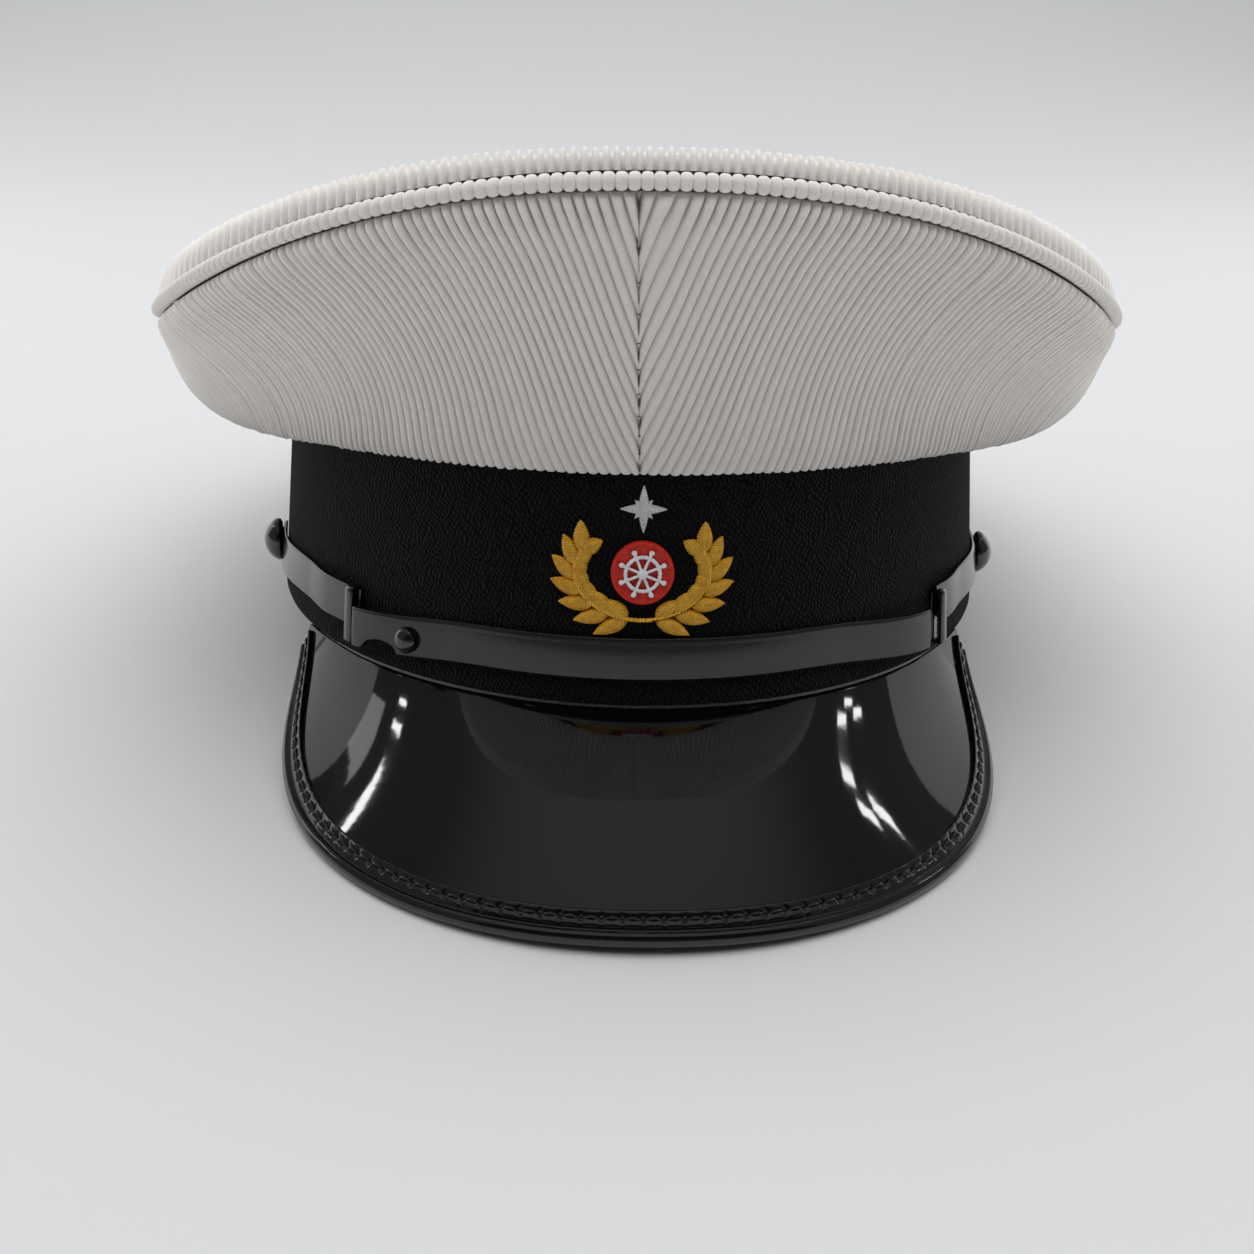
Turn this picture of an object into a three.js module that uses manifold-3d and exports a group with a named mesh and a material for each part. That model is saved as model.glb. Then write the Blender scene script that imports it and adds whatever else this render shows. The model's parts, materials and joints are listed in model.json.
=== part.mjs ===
// A peaked cap: a ribbed cloth crown over a black cloth band, with a patent peak,
// a patent chin strap held by two keepers, side buttons, and a raised badge.
// Millimetres, +Z up. The front of the cap faces -Y. Left and right in the names are
// as seen from the front, so left is -X.
//
// Every piece is worked out in the cap's own frame, whose origin is the centre of
// the head opening, in the plane of the band's lower edge. The whole cap is then
// tipped back until it stands on its peak and on the back of its band.

import * as THREE from 'three';
import * as BufferGeometryUtils from 'three/addons/utils/BufferGeometryUtils.js';
import Module from 'manifold-3d';

const manifoldLibrary = await Module();
manifoldLibrary.setup();

// ---------------------------------------------------------------- driving sizes

const SEAT_GAP = 0.3; // clearance kept between pieces that are sewn or rest together

const opening = { halfWidth: 87, halfLength: 109 }; // band's outer face at its lower edge
const band = { wall: 2.6, frontHeight: 46.2, sideHeight: 43.5, taper: 3.4, hem: 1.2 };
const cloth = { wall: 1.4, tuck: 0.6 }; // the side panels' faces lie a tuck inside the band's

const rim = {
  halfWidth: 110.7,
  halfLength: 130.3,
  squareness: 2.28,
  frontHeight: 100.3,
  sideHeight: 65.25,
  backHeight: 80,
  pipingRadius: 1.4,
};
const crownSeam = { angle: -0.0265, gapAngle: 0.0016 }; // it sits a little left of centre
// where the side panel's middle control line lies, as parts of the way from band to rim
const sideBulge = { front: { out: 0.543, up: 0.334 }, side: { out: 0.903, up: -0.294 } };
const topRoll = { frontInset: 3, sideInset: 5.6, frontHeight: 3.8, sideHeight: 9.6 };
const topPanel = { sinkPower: 2, centreHeight: 80.5 };

const peak = {
  halfSpan: 1.035, // radians of the oval from the centre front to each end
  depth: 47.3,
  outlinePower: 2.48,
  frontSlope: 0.6, // radians below the plane of the head opening, half way out
  sideSlope: 0.3, // added towards the sides
  endSlope: 1.27,
  slopePower: 6.5,
  frontCurl: 0.3, // radians that the slope grows from the root to the edge
  sideCurl: -0.5,
  thickness: 1.8,
  tuck: 0.5, // how far the root lies inside the band's outer face
  endShare: 0.985, // the sheet stops just short of where its length runs out
};
const binding = {
  flatWidth: 3.6,
  flatShare: 0.75, // the most of the peak's length that the flat may take
  leaf: 0.7,
  crease: 0.4, // between the flat and the bead
  beadRadius: 1.55,
  beadOut: 0.6, // the bead's centre, in bead radii beyond the peak's edge
  beadSink: 0.4, // the bead's centre, below the peak's upper face
  beadTurn: 1.2, // radians that the bead runs round, to each side
  endShare: 0.965,
};

const strap = { width: 8.4, thickness: 1.1 };
const frontStrap = {
  endAngle: 0.745,
  middleHeight: 10,
  endHeight: 7.9,
  dropFrom: 0.35,
  dropTo: 0.78,
  endStandOff: 3.0,
  liftFrom: 0.45,
  liftTo: 0.74,
};
const backStrap = {
  startAngle: 0.7,
  startHeight: 11.4,
  endHeight: 9,
  dropFrom: 1,
  settleFrom: 0.86,
  settleTo: 1,
  pastButton: 0.07,
};
const keeper = { width: 2.8, bar: 0.8, height: 12.2 };
const keeperAngles = { left: -0.775, right: 0.82 };
const button = { angle: 1.36, radius: 5.2, height: 4.4 };
const stud = { angle: -0.572, radius: 2.7, height: 1.9, below: 0.6 };

const badge = { across: -1.4, centreHeight: 27, lift: 0.45, relief: 1.0 };
const wreath = {
  halfWidth: 13.2,
  halfHeight: 9.2,
  leafPairs: 7,
  firstTurn: -1.36, // radians round the spray, from its side
  lastTurn: 0.42,
  leafLength: 7.4,
  leafWidth: 3,
  outerSplay: -0.62, // radians that each leaf turns from the stem
  innerSplay: 0.5,
  innerLength: 0.78, // of an outer leaf's length
  shortening: 0.18, // of the leaves' length, lost by the top of the spray
  stemFrom: -1.72,
  stemTo: 0.5,
  stemWidth: 0.8,
  stemRelief: 0.8,
};
const roundel = { radius: 6.2, relief: 0.7 };
const wheel = {
  rimRadius: 3.3,
  rimWidth: 0.8,
  hubRadius: 1.0,
  spokes: 8,
  spokeStart: 0.2,
  spokeEnd: 4.9,
  spokeWidth: 0.56,
  spokeFlare: 0.28,
  spokeRelief: 0.54,
  relief: 0.6,
};
const star = { centreHeight: 39.2, longReach: 4.6, shortReach: 2.5, waist: 1.0, relief: 0.8 };

// ---------------------------------------------------------------- solids from sections

// Turns a list of cross-sections into one closed solid. Every section is a loop of the
// same even number of points: its first half runs along one face and its second half
// comes back along the other, so the two ends close with plain quads.
function sweepSections(sections, isRing) {
  const loopSize = sections[0].length;
  const positions = sections.flat().flatMap((point) => [point.x, point.y, point.z]);
  const triangles = [];
  const addQuad = (a, b, c, d) => triangles.push(a, b, c, a, c, d);
  const spans = isRing ? sections.length : sections.length - 1;
  for (let s = 0; s < spans; s += 1) {
    const here = s * loopSize;
    const next = ((s + 1) % sections.length) * loopSize;
    for (let k = 0; k < loopSize; k += 1) {
      const after = (k + 1) % loopSize;
      addQuad(here + k, here + after, next + after, next + k);
    }
  }
  if (!isRing) {
    const last = (sections.length - 1) * loopSize;
    for (let k = 0; k < loopSize / 2 - 1; k += 1) {
      const opposite = loopSize - 1 - k;
      addQuad(opposite, opposite - 1, k + 1, k);
      addQuad(last + k, last + k + 1, last + opposite - 1, last + opposite);
    }
  }
  return closedGeometry(positions, triangles);
}

// Merges equal points, drops collapsed triangles, and makes every face point outwards.
function closedGeometry(positions, triangles) {
  const raw = new THREE.BufferGeometry();
  raw.setAttribute('position', new THREE.Float32BufferAttribute(positions, 3));
  raw.setIndex(triangles);
  const merged = BufferGeometryUtils.mergeVertices(raw, 1e-3);
  const kept = [];
  const index = merged.index.array;
  for (let t = 0; t < index.length; t += 3) {
    const [a, b, c] = index.slice(t, t + 3);
    if (a !== b && b !== c && c !== a) kept.push(a, b, c);
  }
  merged.setIndex(signedVolume(merged, kept) < 0 ? kept.reverse() : kept);
  merged.computeVertexNormals();
  return merged;
}

function signedVolume(geometry, index) {
  const place = geometry.attributes.position;
  const corner = [new THREE.Vector3(), new THREE.Vector3(), new THREE.Vector3()];
  let total = 0;
  for (let t = 0; t < index.length; t += 3) {
    corner.forEach((point, k) => point.fromBufferAttribute(place, index[t + k]));
    total += corner[0].dot(corner[1].clone().cross(corner[2])) / 6;
  }
  return total;
}

const evenly = (count, from, to) =>
  Array.from({ length: count }, (_, k) => from + ((to - from) * k) / (count - 1));

const aroundRing = (count) => Array.from({ length: count }, (_, k) => (2 * Math.PI * k) / count);

// ---------------------------------------------------------------- the cap's main lines

// The angle round the cap is 0 at the centre front, and grows towards +X.

const frontShare = (angle) => Math.max(Math.cos(angle), 0) ** 2;
const backShare = (angle) => Math.max(-Math.cos(angle), 0) ** 2;

const signedPower = (value, power) => Math.sign(value) * Math.abs(value) ** power;

// A point on the band's outer face at a height, moved outwards by an offset.
function onBand(angle, height, offset = 0) {
  const narrowing = (band.taper * height) / band.frontHeight;
  const halfWidth = opening.halfWidth - narrowing + offset;
  const halfLength = opening.halfLength - narrowing + offset;
  return new THREE.Vector3(halfWidth * Math.sin(angle), -halfLength * Math.cos(angle), height);
}

// The level direction that points straight out of the band.
function outwards(angle) {
  const across = Math.sin(angle) / opening.halfWidth;
  const ahead = -Math.cos(angle) / opening.halfLength;
  return new THREE.Vector3(across, ahead, 0).normalize();
}

const bandTop = (angle) =>
  band.sideHeight + (band.frontHeight - band.sideHeight) * frontShare(angle);

// The middle line of the piping: an oval that is high in front and sinks at the sides.
function rimPoint(angle) {
  const power = 2 / rim.squareness;
  const height = rim.sideHeight
    + (rim.frontHeight - rim.sideHeight) * frontShare(angle)
    + (rim.backHeight - rim.sideHeight) * backShare(angle);
  return new THREE.Vector3(
    rim.halfWidth * signedPower(Math.sin(angle), power),
    -rim.halfLength * signedPower(Math.cos(angle), power),
    height,
  );
}

// The level direction that points straight out of the rim.
function rimOutwards(angle) {
  const step = 0.01;
  const along = rimPoint(angle + step).sub(rimPoint(angle - step));
  return new THREE.Vector3(along.y, -along.x, 0).normalize();
}

const UP = new THREE.Vector3(0, 0, 1);

// ---------------------------------------------------------------- band

function makeBand() {
  const sections = aroundRing(64).map((angle) => {
    const top = bandTop(angle);
    return [
      onBand(angle, 0, -band.hem),
      onBand(angle, band.hem),
      onBand(angle, top / 2),
      onBand(angle, top),
      onBand(angle, top, -band.wall),
      onBand(angle, top / 2, -band.wall),
      onBand(angle, band.hem, -band.wall),
      onBand(angle, 0, -band.wall),
    ];
  });
  return sweepSections(sections, true);
}

// ---------------------------------------------------------------- crown

// The side panel's outer face, from the band (share 0) up to the rim seam (share 1).
function crownSidePoint(angle, share) {
  const foot = onBand(angle, bandTop(angle) + SEAT_GAP, -cloth.tuck);
  const head = rimPoint(angle)
    .addScaledVector(rimOutwards(angle), -cloth.tuck)
    .addScaledVector(UP, -rim.pipingRadius - SEAT_GAP);
  const sideways = Math.sin(angle) ** 2;
  const out = THREE.MathUtils.lerp(sideBulge.front.out, sideBulge.side.out, sideways);
  const up = THREE.MathUtils.lerp(sideBulge.front.up, sideBulge.side.up, sideways);
  const middle = foot.clone().lerp(head, out);
  middle.z = THREE.MathUtils.lerp(foot.z, head.z, up);
  return new THREE.QuadraticBezierCurve3(foot, middle, head).getPoint(share);
}

// A section through a thin sheet: its outer face, then its inner face coming back.
function sheetSection(outer, normals, wall) {
  const inner = outer.map((point, k) => point.clone().addScaledVector(normals[k], -wall));
  return [...outer, ...inner.reverse()];
}

function crownSideSection(angle) {
  const step = 0.01;
  const shares = evenly(7, 0, 1);
  const outer = shares.map((share) => crownSidePoint(angle, share));
  const normals = shares.map((share, k) => {
    const low = crownSidePoint(angle, Math.max(share - step, 0));
    const high = crownSidePoint(angle, Math.min(share + step, 1));
    const around = crownSidePoint(angle + step, share).sub(outer[k]);
    const normal = around.cross(high.sub(low)).normalize();
    // both edges are cut level so that they lie flat against the band and the piping
    return k === 0 || k === shares.length - 1 ? normal.setZ(0).normalize() : normal;
  });
  return sheetSection(outer, normals, cloth.wall);
}

function makeCrownSide(side) {
  const angles = evenly(33, crownSeam.gapAngle, Math.PI - crownSeam.gapAngle);
  const sections = angles.map((angle) => crownSideSection(crownSeam.angle + side * angle));
  return sweepSections(sections, false);
}

function makePiping() {
  const ringSections = aroundRing(72).map((angle) => {
    const centre = rimPoint(angle);
    const out = rimOutwards(angle);
    return aroundRing(8).map((turn) => centre.clone()
      .addScaledVector(out, rim.pipingRadius * Math.cos(turn))
      .addScaledVector(UP, rim.pipingRadius * Math.sin(turn)));
  });
  return sweepSections(ringSections, true);
}

// One spoke of the top panel, from its middle out over the rolled edge to the piping.
function crownTopSection(angle) {
  const out = rimOutwards(angle);
  const front = frontShare(angle);
  const inset = THREE.MathUtils.lerp(topRoll.sideInset, topRoll.frontInset, front);
  const height = THREE.MathUtils.lerp(topRoll.sideHeight, topRoll.frontHeight, front);
  const rollBase = rimPoint(angle)
    .addScaledVector(out, -inset)
    .addScaledVector(UP, rim.pipingRadius + SEAT_GAP);
  const roll = (turn, shrink) => rollBase.clone()
    .addScaledVector(out, (inset - shrink) * Math.cos(turn))
    .addScaledVector(UP, (height - shrink) * Math.sin(turn));
  const edge = roll(Math.PI / 2, 0);
  const panel = (share, drop) => new THREE.Vector3(
    edge.x * share,
    edge.y * share,
    THREE.MathUtils.lerp(topPanel.centreHeight, edge.z, share ** topPanel.sinkPower) - drop,
  );
  const shares = [0, 0.3, 0.6, 0.85];
  const turns = [Math.PI / 2, Math.PI / 4, 0];
  const outer = [...shares.map((s) => panel(s, 0)), ...turns.map((t) => roll(t, 0))];
  const inner = [
    ...shares.map((s) => panel(s, cloth.wall)),
    ...turns.map((t) => roll(t, cloth.wall)),
  ];
  return [...outer, ...inner.reverse()];
}

const makeCrownTop = () => sweepSections(aroundRing(64).map(crownTopSection), true);

// ---------------------------------------------------------------- peak

const spanShare = (angle) => Math.abs(angle) / peak.halfSpan;

const peakLength = (angle) => peak.depth * (1 - spanShare(angle) ** peak.outlinePower);

// A point of the peak at an angle round the band: run millimetres out along its curved
// upper face, and rise millimetres off that face.
function onPeak(angle, run, rise) {
  const share = spanShare(angle);
  const length = peakLength(angle);
  const sideways = share ** 2;
  const endGrowth = peak.endSlope - peak.frontSlope - peak.sideSlope;
  const slope = peak.frontSlope + peak.sideSlope * sideways + endGrowth * share ** peak.slopePower;
  const curl = (1 - sideways) * (peak.frontCurl + 4 * sideways * peak.sideCurl);
  const start = slope - curl / 2;
  const bentRun = Math.min(run, length);
  const turn = start + (curl * bentRun) / length;
  // an arc from the root, then straight on past the peak's edge; a chord stands in for
  // an arc that hardly bends
  const chord = Math.abs(curl) < 1e-6;
  const arcOut = chord ? bentRun * Math.cos(start) : (length / curl) * (Math.sin(turn) - Math.sin(start));
  const arcDown = chord ? bentRun * Math.sin(start) : (length / curl) * (Math.cos(start) - Math.cos(turn));
  const past = run - bentRun;
  return onBand(angle, 0, -peak.tuck)
    .addScaledVector(outwards(angle), arcOut + past * Math.cos(turn) + rise * Math.sin(turn))
    .addScaledVector(UP, rise * Math.cos(turn) - past * Math.sin(turn) - arcDown - SEAT_GAP);
}

// Angles across the peak, closer together towards its steep ends.
function peakAngles(count, endShare) {
  return evenly(count, -1, 1).map((step) => peak.halfSpan * endShare * Math.sin(step * Math.PI / 2));
}

function makePeak() {
  const sections = peakAngles(33, peak.endShare).map((angle) => {
    const runs = evenly(7, 0, peakLength(angle));
    return [
      ...runs.map((run) => onPeak(angle, run, 0)),
      ...runs.reverse().map((run) => onPeak(angle, run, -peak.thickness)),
    ];
  });
  return sweepSections(sections, false);
}

// The binding folds over the peak's edge: a flat leaf on each face and a round bead.
function makeBinding() {
  const sections = peakAngles(41, binding.endShare).map((angle) => {
    const length = peakLength(angle);
    const at = (run, rise) => onPeak(angle, run, rise);
    const edge = length + SEAT_GAP;
    const flatStart = length - Math.min(binding.flatWidth, length * binding.flatShare);
    const flatMiddle = (flatStart + edge) / 2;
    const upperFace = SEAT_GAP;
    const lowerFace = -peak.thickness - SEAT_GAP;
    const bead = (turn) => at(
      edge + binding.beadRadius * (binding.beadOut + Math.cos(turn)),
      binding.beadRadius * Math.sin(turn) - binding.beadSink,
    );
    return [
      at(flatStart, upperFace + binding.leaf),
      at(edge - binding.crease, upperFace + binding.leaf),
      ...evenly(4, binding.beadTurn, -binding.beadTurn).map(bead),
      at(edge - binding.crease, lowerFace - binding.leaf),
      at(flatStart, lowerFace - binding.leaf),
      at(flatStart, lowerFace),
      at(flatMiddle, lowerFace),
      ...evenly(4, lowerFace, upperFace).map((rise) => at(edge, rise)),
      at(flatMiddle, upperFace),
      at(flatStart, upperFace),
    ];
  });
  return sweepSections(sections, false);
}

// ---------------------------------------------------------------- chin strap

const smooth = THREE.MathUtils.smoothstep;

// The strap's middle line: its height on the band and how far it stands off the band.
// The front length lies on the band and lifts over the back lengths at both its ends.
function frontStrapLine(angle) {
  const drop = smooth(Math.abs(angle), frontStrap.dropFrom, frontStrap.dropTo);
  const lift = smooth(Math.abs(angle), frontStrap.liftFrom, frontStrap.liftTo);
  return {
    height: THREE.MathUtils.lerp(frontStrap.middleHeight, frontStrap.endHeight, drop),
    standOff: THREE.MathUtils.lerp(SEAT_GAP, frontStrap.endStandOff, lift),
  };
}

// A back length runs down from its keeper to its button, and clears the keeper's inner bar.
function backStrapLine(angle) {
  const drop = smooth(Math.abs(angle), backStrap.dropFrom, button.angle);
  const settle = smooth(Math.abs(angle), backStrap.settleFrom, backStrap.settleTo);
  return {
    height: THREE.MathUtils.lerp(backStrap.startHeight, backStrap.endHeight, drop),
    standOff: THREE.MathUtils.lerp(SEAT_GAP * 2 + keeper.bar, SEAT_GAP, settle),
  };
}

function makeStrap(angles, line) {
  const sections = angles.map((angle) => {
    const { height, standOff } = line(angle);
    const low = height - strap.width / 2;
    const high = height + strap.width / 2;
    const outer = standOff + strap.thickness;
    return [
      onBand(angle, low, outer),
      onBand(angle, high, outer),
      onBand(angle, high, standOff),
      onBand(angle, low, standOff),
    ];
  });
  return sweepSections(sections, false);
}

// A keeper is a closed loop round the back strap, standing upright on the band.
function makeKeeper(angle) {
  const halfStep = keeper.width / 2 / opening.halfLength;
  const high = backStrapLine(angle).height + strap.width / 2 + SEAT_GAP + keeper.bar;
  const low = high - keeper.height;
  const inside = SEAT_GAP;
  const outside = SEAT_GAP * 3 + keeper.bar * 2 + strap.thickness;
  const corners = [
    { height: low, offset: outside, inward: { height: 1, offset: -1 } },
    { height: high, offset: outside, inward: { height: -1, offset: -1 } },
    { height: high, offset: inside, inward: { height: -1, offset: 1 } },
    { height: low, offset: inside, inward: { height: 1, offset: 1 } },
  ];
  const sections = corners.map(({ height, offset, inward }) => {
    const innerHeight = height + inward.height * keeper.bar;
    const innerOffset = offset + inward.offset * keeper.bar;
    return [
      onBand(angle - halfStep, height, offset),
      onBand(angle + halfStep, height, offset),
      onBand(angle + halfStep, innerHeight, innerOffset),
      onBand(angle - halfStep, innerHeight, innerOffset),
    ];
  });
  return sweepSections(sections, true);
}

// A domed button or stud, turned about its own axis, with its flat back at z = 0.
function makeDome(radius, height, sides) {
  const profile = [
    [0, 0],
    [0.82, 0],
    [1, 0.22],
    [0.88, 0.6],
    [0.52, 0.92],
    [0, 1],
  ].map(([across, up]) => new THREE.Vector2(across * radius, up * height));
  const lathe = new THREE.LatheGeometry(profile, sides);
  lathe.deleteAttribute('uv');
  lathe.deleteAttribute('normal');
  lathe.rotateX(Math.PI / 2);
  return closedGeometry([...lathe.attributes.position.array], [...lathe.index.array]);
}

// ---------------------------------------------------------------- badge

// The badge is drawn flat, as (across, up, relief), and then wrapped on to the band.

function wrapOnBand(geometry) {
  const place = geometry.attributes.position;
  const frontRadius = opening.halfWidth ** 2 / opening.halfLength;
  for (let k = 0; k < place.count; k += 1) {
    const across = place.getX(k) + badge.across;
    const angle = Math.asin((frontRadius * Math.sin(across / frontRadius)) / opening.halfWidth);
    const point = onBand(angle, place.getY(k), badge.lift + place.getZ(k));
    place.setXYZ(k, point.x, point.y, point.z);
  }
  return geometry;
}

function toManifold(geometry) {
  return new manifoldLibrary.Manifold(new manifoldLibrary.Mesh({
    numProp: 3,
    vertProperties: Float32Array.from(geometry.attributes.position.array),
    triVerts: Uint32Array.from(geometry.index.array),
  }));
}

function joinSolids(geometries) {
  const joined = geometries.map(toManifold).reduce((whole, piece) => whole.add(piece));
  const { vertProperties, triVerts } = joined.getMesh();
  return closedGeometry([...vertProperties], [...triVerts]);
}

// A flat motif with upright sides, cut from an outline.
function makePlaque(outline, relief, hole) {
  const shape = new THREE.Shape(outline);
  if (hole) shape.holes.push(new THREE.Path(hole));
  const solid = new THREE.ExtrudeGeometry(shape, { depth: relief, bevelEnabled: false, steps: 1 });
  const { count, array } = solid.attributes.position;
  return closedGeometry([...array], Array.from({ length: count }, (_, k) => k));
}

const circle = (radius, sides, turn = 0) => aroundRing(sides).map((angle) =>
  new THREE.Vector2(radius * Math.cos(angle + turn), radius * Math.sin(angle + turn)));

// A padded leaf: a pointed outline at the cloth and a raised ridge along its middle.
function makeLeaf(base, direction, length, width, relief) {
  const along = new THREE.Vector2(Math.cos(direction), Math.sin(direction));
  const across = new THREE.Vector2(-along.y, along.x);
  const stations = [
    { run: 0, half: 0.3, rise: 0.55 },
    { run: 0.35, half: 1, rise: 1 },
    { run: 0.7, half: 0.75, rise: 0.9 },
    { run: 1, half: 0.12, rise: 0.4 },
  ];
  const sections = stations.map(({ run, half, rise }) => {
    const at = (side, up) => new THREE.Vector3(
      base.x + along.x * length * run + across.x * side * half * width / 2,
      base.y + along.y * length * run + across.y * side * half * width / 2,
      up,
    );
    return [at(-1, 0), at(0, relief * rise), at(1, 0), at(0, 0)];
  });
  return sweepSections(sections, false);
}

// Two sprays rise from a knot at the foot of the badge and open towards the top.
function makeWreath() {
  const solids = [];
  for (const side of [-1, 1]) {
    for (let pair = 0; pair < wreath.leafPairs; pair += 1) {
      const share = pair / (wreath.leafPairs - 1);
      const turn = THREE.MathUtils.lerp(wreath.firstTurn, wreath.lastTurn, share);
      const stem = new THREE.Vector2(
        wreath.halfWidth * Math.cos(turn),
        badge.centreHeight + wreath.halfHeight * Math.sin(turn),
      );
      const heading = Math.atan2(
        wreath.halfHeight * Math.cos(turn),
        -wreath.halfWidth * Math.sin(turn),
      );
      for (const splay of [wreath.outerSplay, wreath.innerSplay]) {
        const direction = heading + splay;
        const fullLength = wreath.leafLength * (splay < 0 ? 1 : wreath.innerLength);
        const length = fullLength * (1 - wreath.shortening * share);
        const base = new THREE.Vector2(side * stem.x, stem.y);
        const facing = side > 0 ? direction : Math.PI - direction;
        solids.push(makeLeaf(base, facing, length, wreath.leafWidth, badge.relief));
      }
    }
    const stemSections = evenly(7, wreath.stemFrom, wreath.stemTo).map((turn) => {
      const at = (grow, up) => new THREE.Vector3(
        side * (wreath.halfWidth + grow) * Math.cos(turn),
        badge.centreHeight + (wreath.halfHeight + grow) * Math.sin(turn),
        up,
      );
      const half = wreath.stemWidth / 2;
      return [at(half, 0), at(-half, 0), at(-half, wreath.stemRelief), at(half, wreath.stemRelief)];
    });
    solids.push(sweepSections(stemSections, false));
  }
  return wrapOnBand(joinSolids(solids));
}

function makeRoundel() {
  const disc = makePlaque(circle(roundel.radius, 20), roundel.relief);
  disc.translate(0, badge.centreHeight, 0);
  return wrapOnBand(disc);
}

function makeWheel() {
  const rimSolid = makePlaque(
    circle(wheel.rimRadius + wheel.rimWidth / 2, 16),
    wheel.relief,
    circle(wheel.rimRadius - wheel.rimWidth / 2, 16),
  );
  const hub = makePlaque(circle(wheel.hubRadius, 8), wheel.relief);
  const spokes = aroundRing(wheel.spokes).map((angle) => {
    const spoke = makePlaque([
      new THREE.Vector2(wheel.spokeStart, -wheel.spokeWidth / 2),
      new THREE.Vector2(wheel.spokeEnd, -(wheel.spokeWidth + wheel.spokeFlare) / 2),
      new THREE.Vector2(wheel.spokeEnd, (wheel.spokeWidth + wheel.spokeFlare) / 2),
      new THREE.Vector2(wheel.spokeStart, wheel.spokeWidth / 2),
    ], wheel.spokeRelief);
    return spoke.rotateZ(angle + Math.PI / wheel.spokes);
  });
  const solid = joinSolids([rimSolid, hub, ...spokes]);
  solid.translate(0, badge.centreHeight, roundel.relief + SEAT_GAP);
  return wrapOnBand(solid);
}

function makeStar() {
  const outline = [];
  for (let point = 0; point < 8; point += 1) {
    const reach = point % 2 === 0 ? star.longReach : star.shortReach;
    const angle = (point * Math.PI) / 4;
    outline.push(new THREE.Vector2(reach * Math.cos(angle), reach * Math.sin(angle)));
    const notch = angle + Math.PI / 8;
    outline.push(new THREE.Vector2(star.waist * Math.cos(notch), star.waist * Math.sin(notch)));
  }
  const solid = makePlaque(outline, star.relief);
  solid.translate(0, star.centreHeight, 0);
  return wrapOnBand(solid);
}

// ---------------------------------------------------------------- materials

const finishes = {
  whiteCloth: { color: 0xd6d4cf, roughness: 0.85, metalness: 0 },
  blackCloth: { color: 0x121316, roughness: 0.95, metalness: 0 },
  patentPeak: { color: 0x08090b, roughness: 0.08, metalness: 0 },
  patentStrap: { color: 0x1b1c20, roughness: 0.25, metalness: 0 },
  blackEnamel: { color: 0x0b0c0e, roughness: 0.15, metalness: 0 },
  goldThread: { color: 0xd99a1e, roughness: 0.5, metalness: 0.1 },
  redThread: { color: 0xb01d12, roughness: 0.8, metalness: 0 },
  whiteThread: { color: 0xe6e6e8, roughness: 0.7, metalness: 0 },
};

function makeMesh(name, geometry, finish) {
  const mesh = new THREE.Mesh(geometry, new THREE.MeshStandardMaterial(finishes[finish]));
  mesh.name = name;
  return mesh;
}

// ---------------------------------------------------------------- assembly

const cap = new THREE.Group();

cap.add(
  makeMesh('band', makeBand(), 'blackCloth'),
  makeMesh('crown_top', makeCrownTop(), 'whiteCloth'),
  makeMesh('crown_piping', makePiping(), 'whiteCloth'),
  makeMesh('crown_side_left', makeCrownSide(-1), 'whiteCloth'),
  makeMesh('crown_side_right', makeCrownSide(1), 'whiteCloth'),
  makeMesh('peak', makePeak(), 'patentPeak'),
  makeMesh('peak_binding', makeBinding(), 'patentPeak'),
);

const frontStrapAngles = evenly(29, -frontStrap.endAngle, frontStrap.endAngle);
cap.add(makeMesh('strap_front', makeStrap(frontStrapAngles, frontStrapLine), 'patentStrap'));

// Puts a part that was turned about z on to the band, facing straight out.
function seatOnBand(mesh, angle, height, offset) {
  mesh.position.copy(onBand(angle, height)).addScaledVector(outwards(angle), offset);
  mesh.quaternion.setFromUnitVectors(UP, outwards(angle));
  return mesh;
}

for (const [name, side] of [['left', -1], ['right', 1]]) {
  const backEnd = button.angle + backStrap.pastButton;
  const angles = evenly(15, side * backStrap.startAngle, side * backEnd);
  cap.add(makeMesh(`strap_back_${name}`, makeStrap(angles, backStrapLine), 'patentStrap'));
  cap.add(makeMesh(`keeper_${name}`, makeKeeper(keeperAngles[name]), 'blackEnamel'));
  const dome = makeMesh(`button_${name}`, makeDome(button.radius, button.height, 20), 'blackEnamel');
  const offset = strap.thickness + SEAT_GAP * 2;
  cap.add(seatOnBand(dome, side * button.angle, backStrap.endHeight, offset));
}

const studMesh = makeMesh('strap_stud', makeDome(stud.radius, stud.height, 14), 'blackEnamel');
const studLine = frontStrapLine(stud.angle);
cap.add(seatOnBand(
  studMesh,
  stud.angle,
  studLine.height - stud.below,
  studLine.standOff + strap.thickness + SEAT_GAP,
));

cap.add(
  makeMesh('badge_wreath', makeWreath(), 'goldThread'),
  makeMesh('badge_roundel', makeRoundel(), 'redThread'),
  makeMesh('badge_wheel', makeWheel(), 'whiteThread'),
  makeMesh('badge_star', makeStar(), 'whiteThread'),
);

// ---------------------------------------------------------------- standing on a floor

// The cap tips back about the lowest back edge of its band until the peak's bead
// touches the floor as well.
cap.updateMatrixWorld(true);
const backHeel = new THREE.Vector2(opening.halfLength - band.hem, 0);
const bindingMesh = cap.getObjectByName('peak_binding');
const bindingPlace = bindingMesh.geometry.attributes.position;
let tilt = 0;
for (let k = 0; k < bindingPlace.count; k += 1) {
  const reach = backHeel.x - bindingPlace.getY(k);
  tilt = Math.max(tilt, Math.atan2(-bindingPlace.getZ(k), reach));
}
cap.rotation.x = -tilt;

const stand = new THREE.Group();
stand.add(cap);
stand.updateMatrixWorld(true);
const extent = new THREE.Box3().setFromObject(stand, true);
const centre = extent.getCenter(new THREE.Vector3());
cap.position.set(-centre.x, -centre.y, -extent.min.z);

export default stand;
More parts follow.
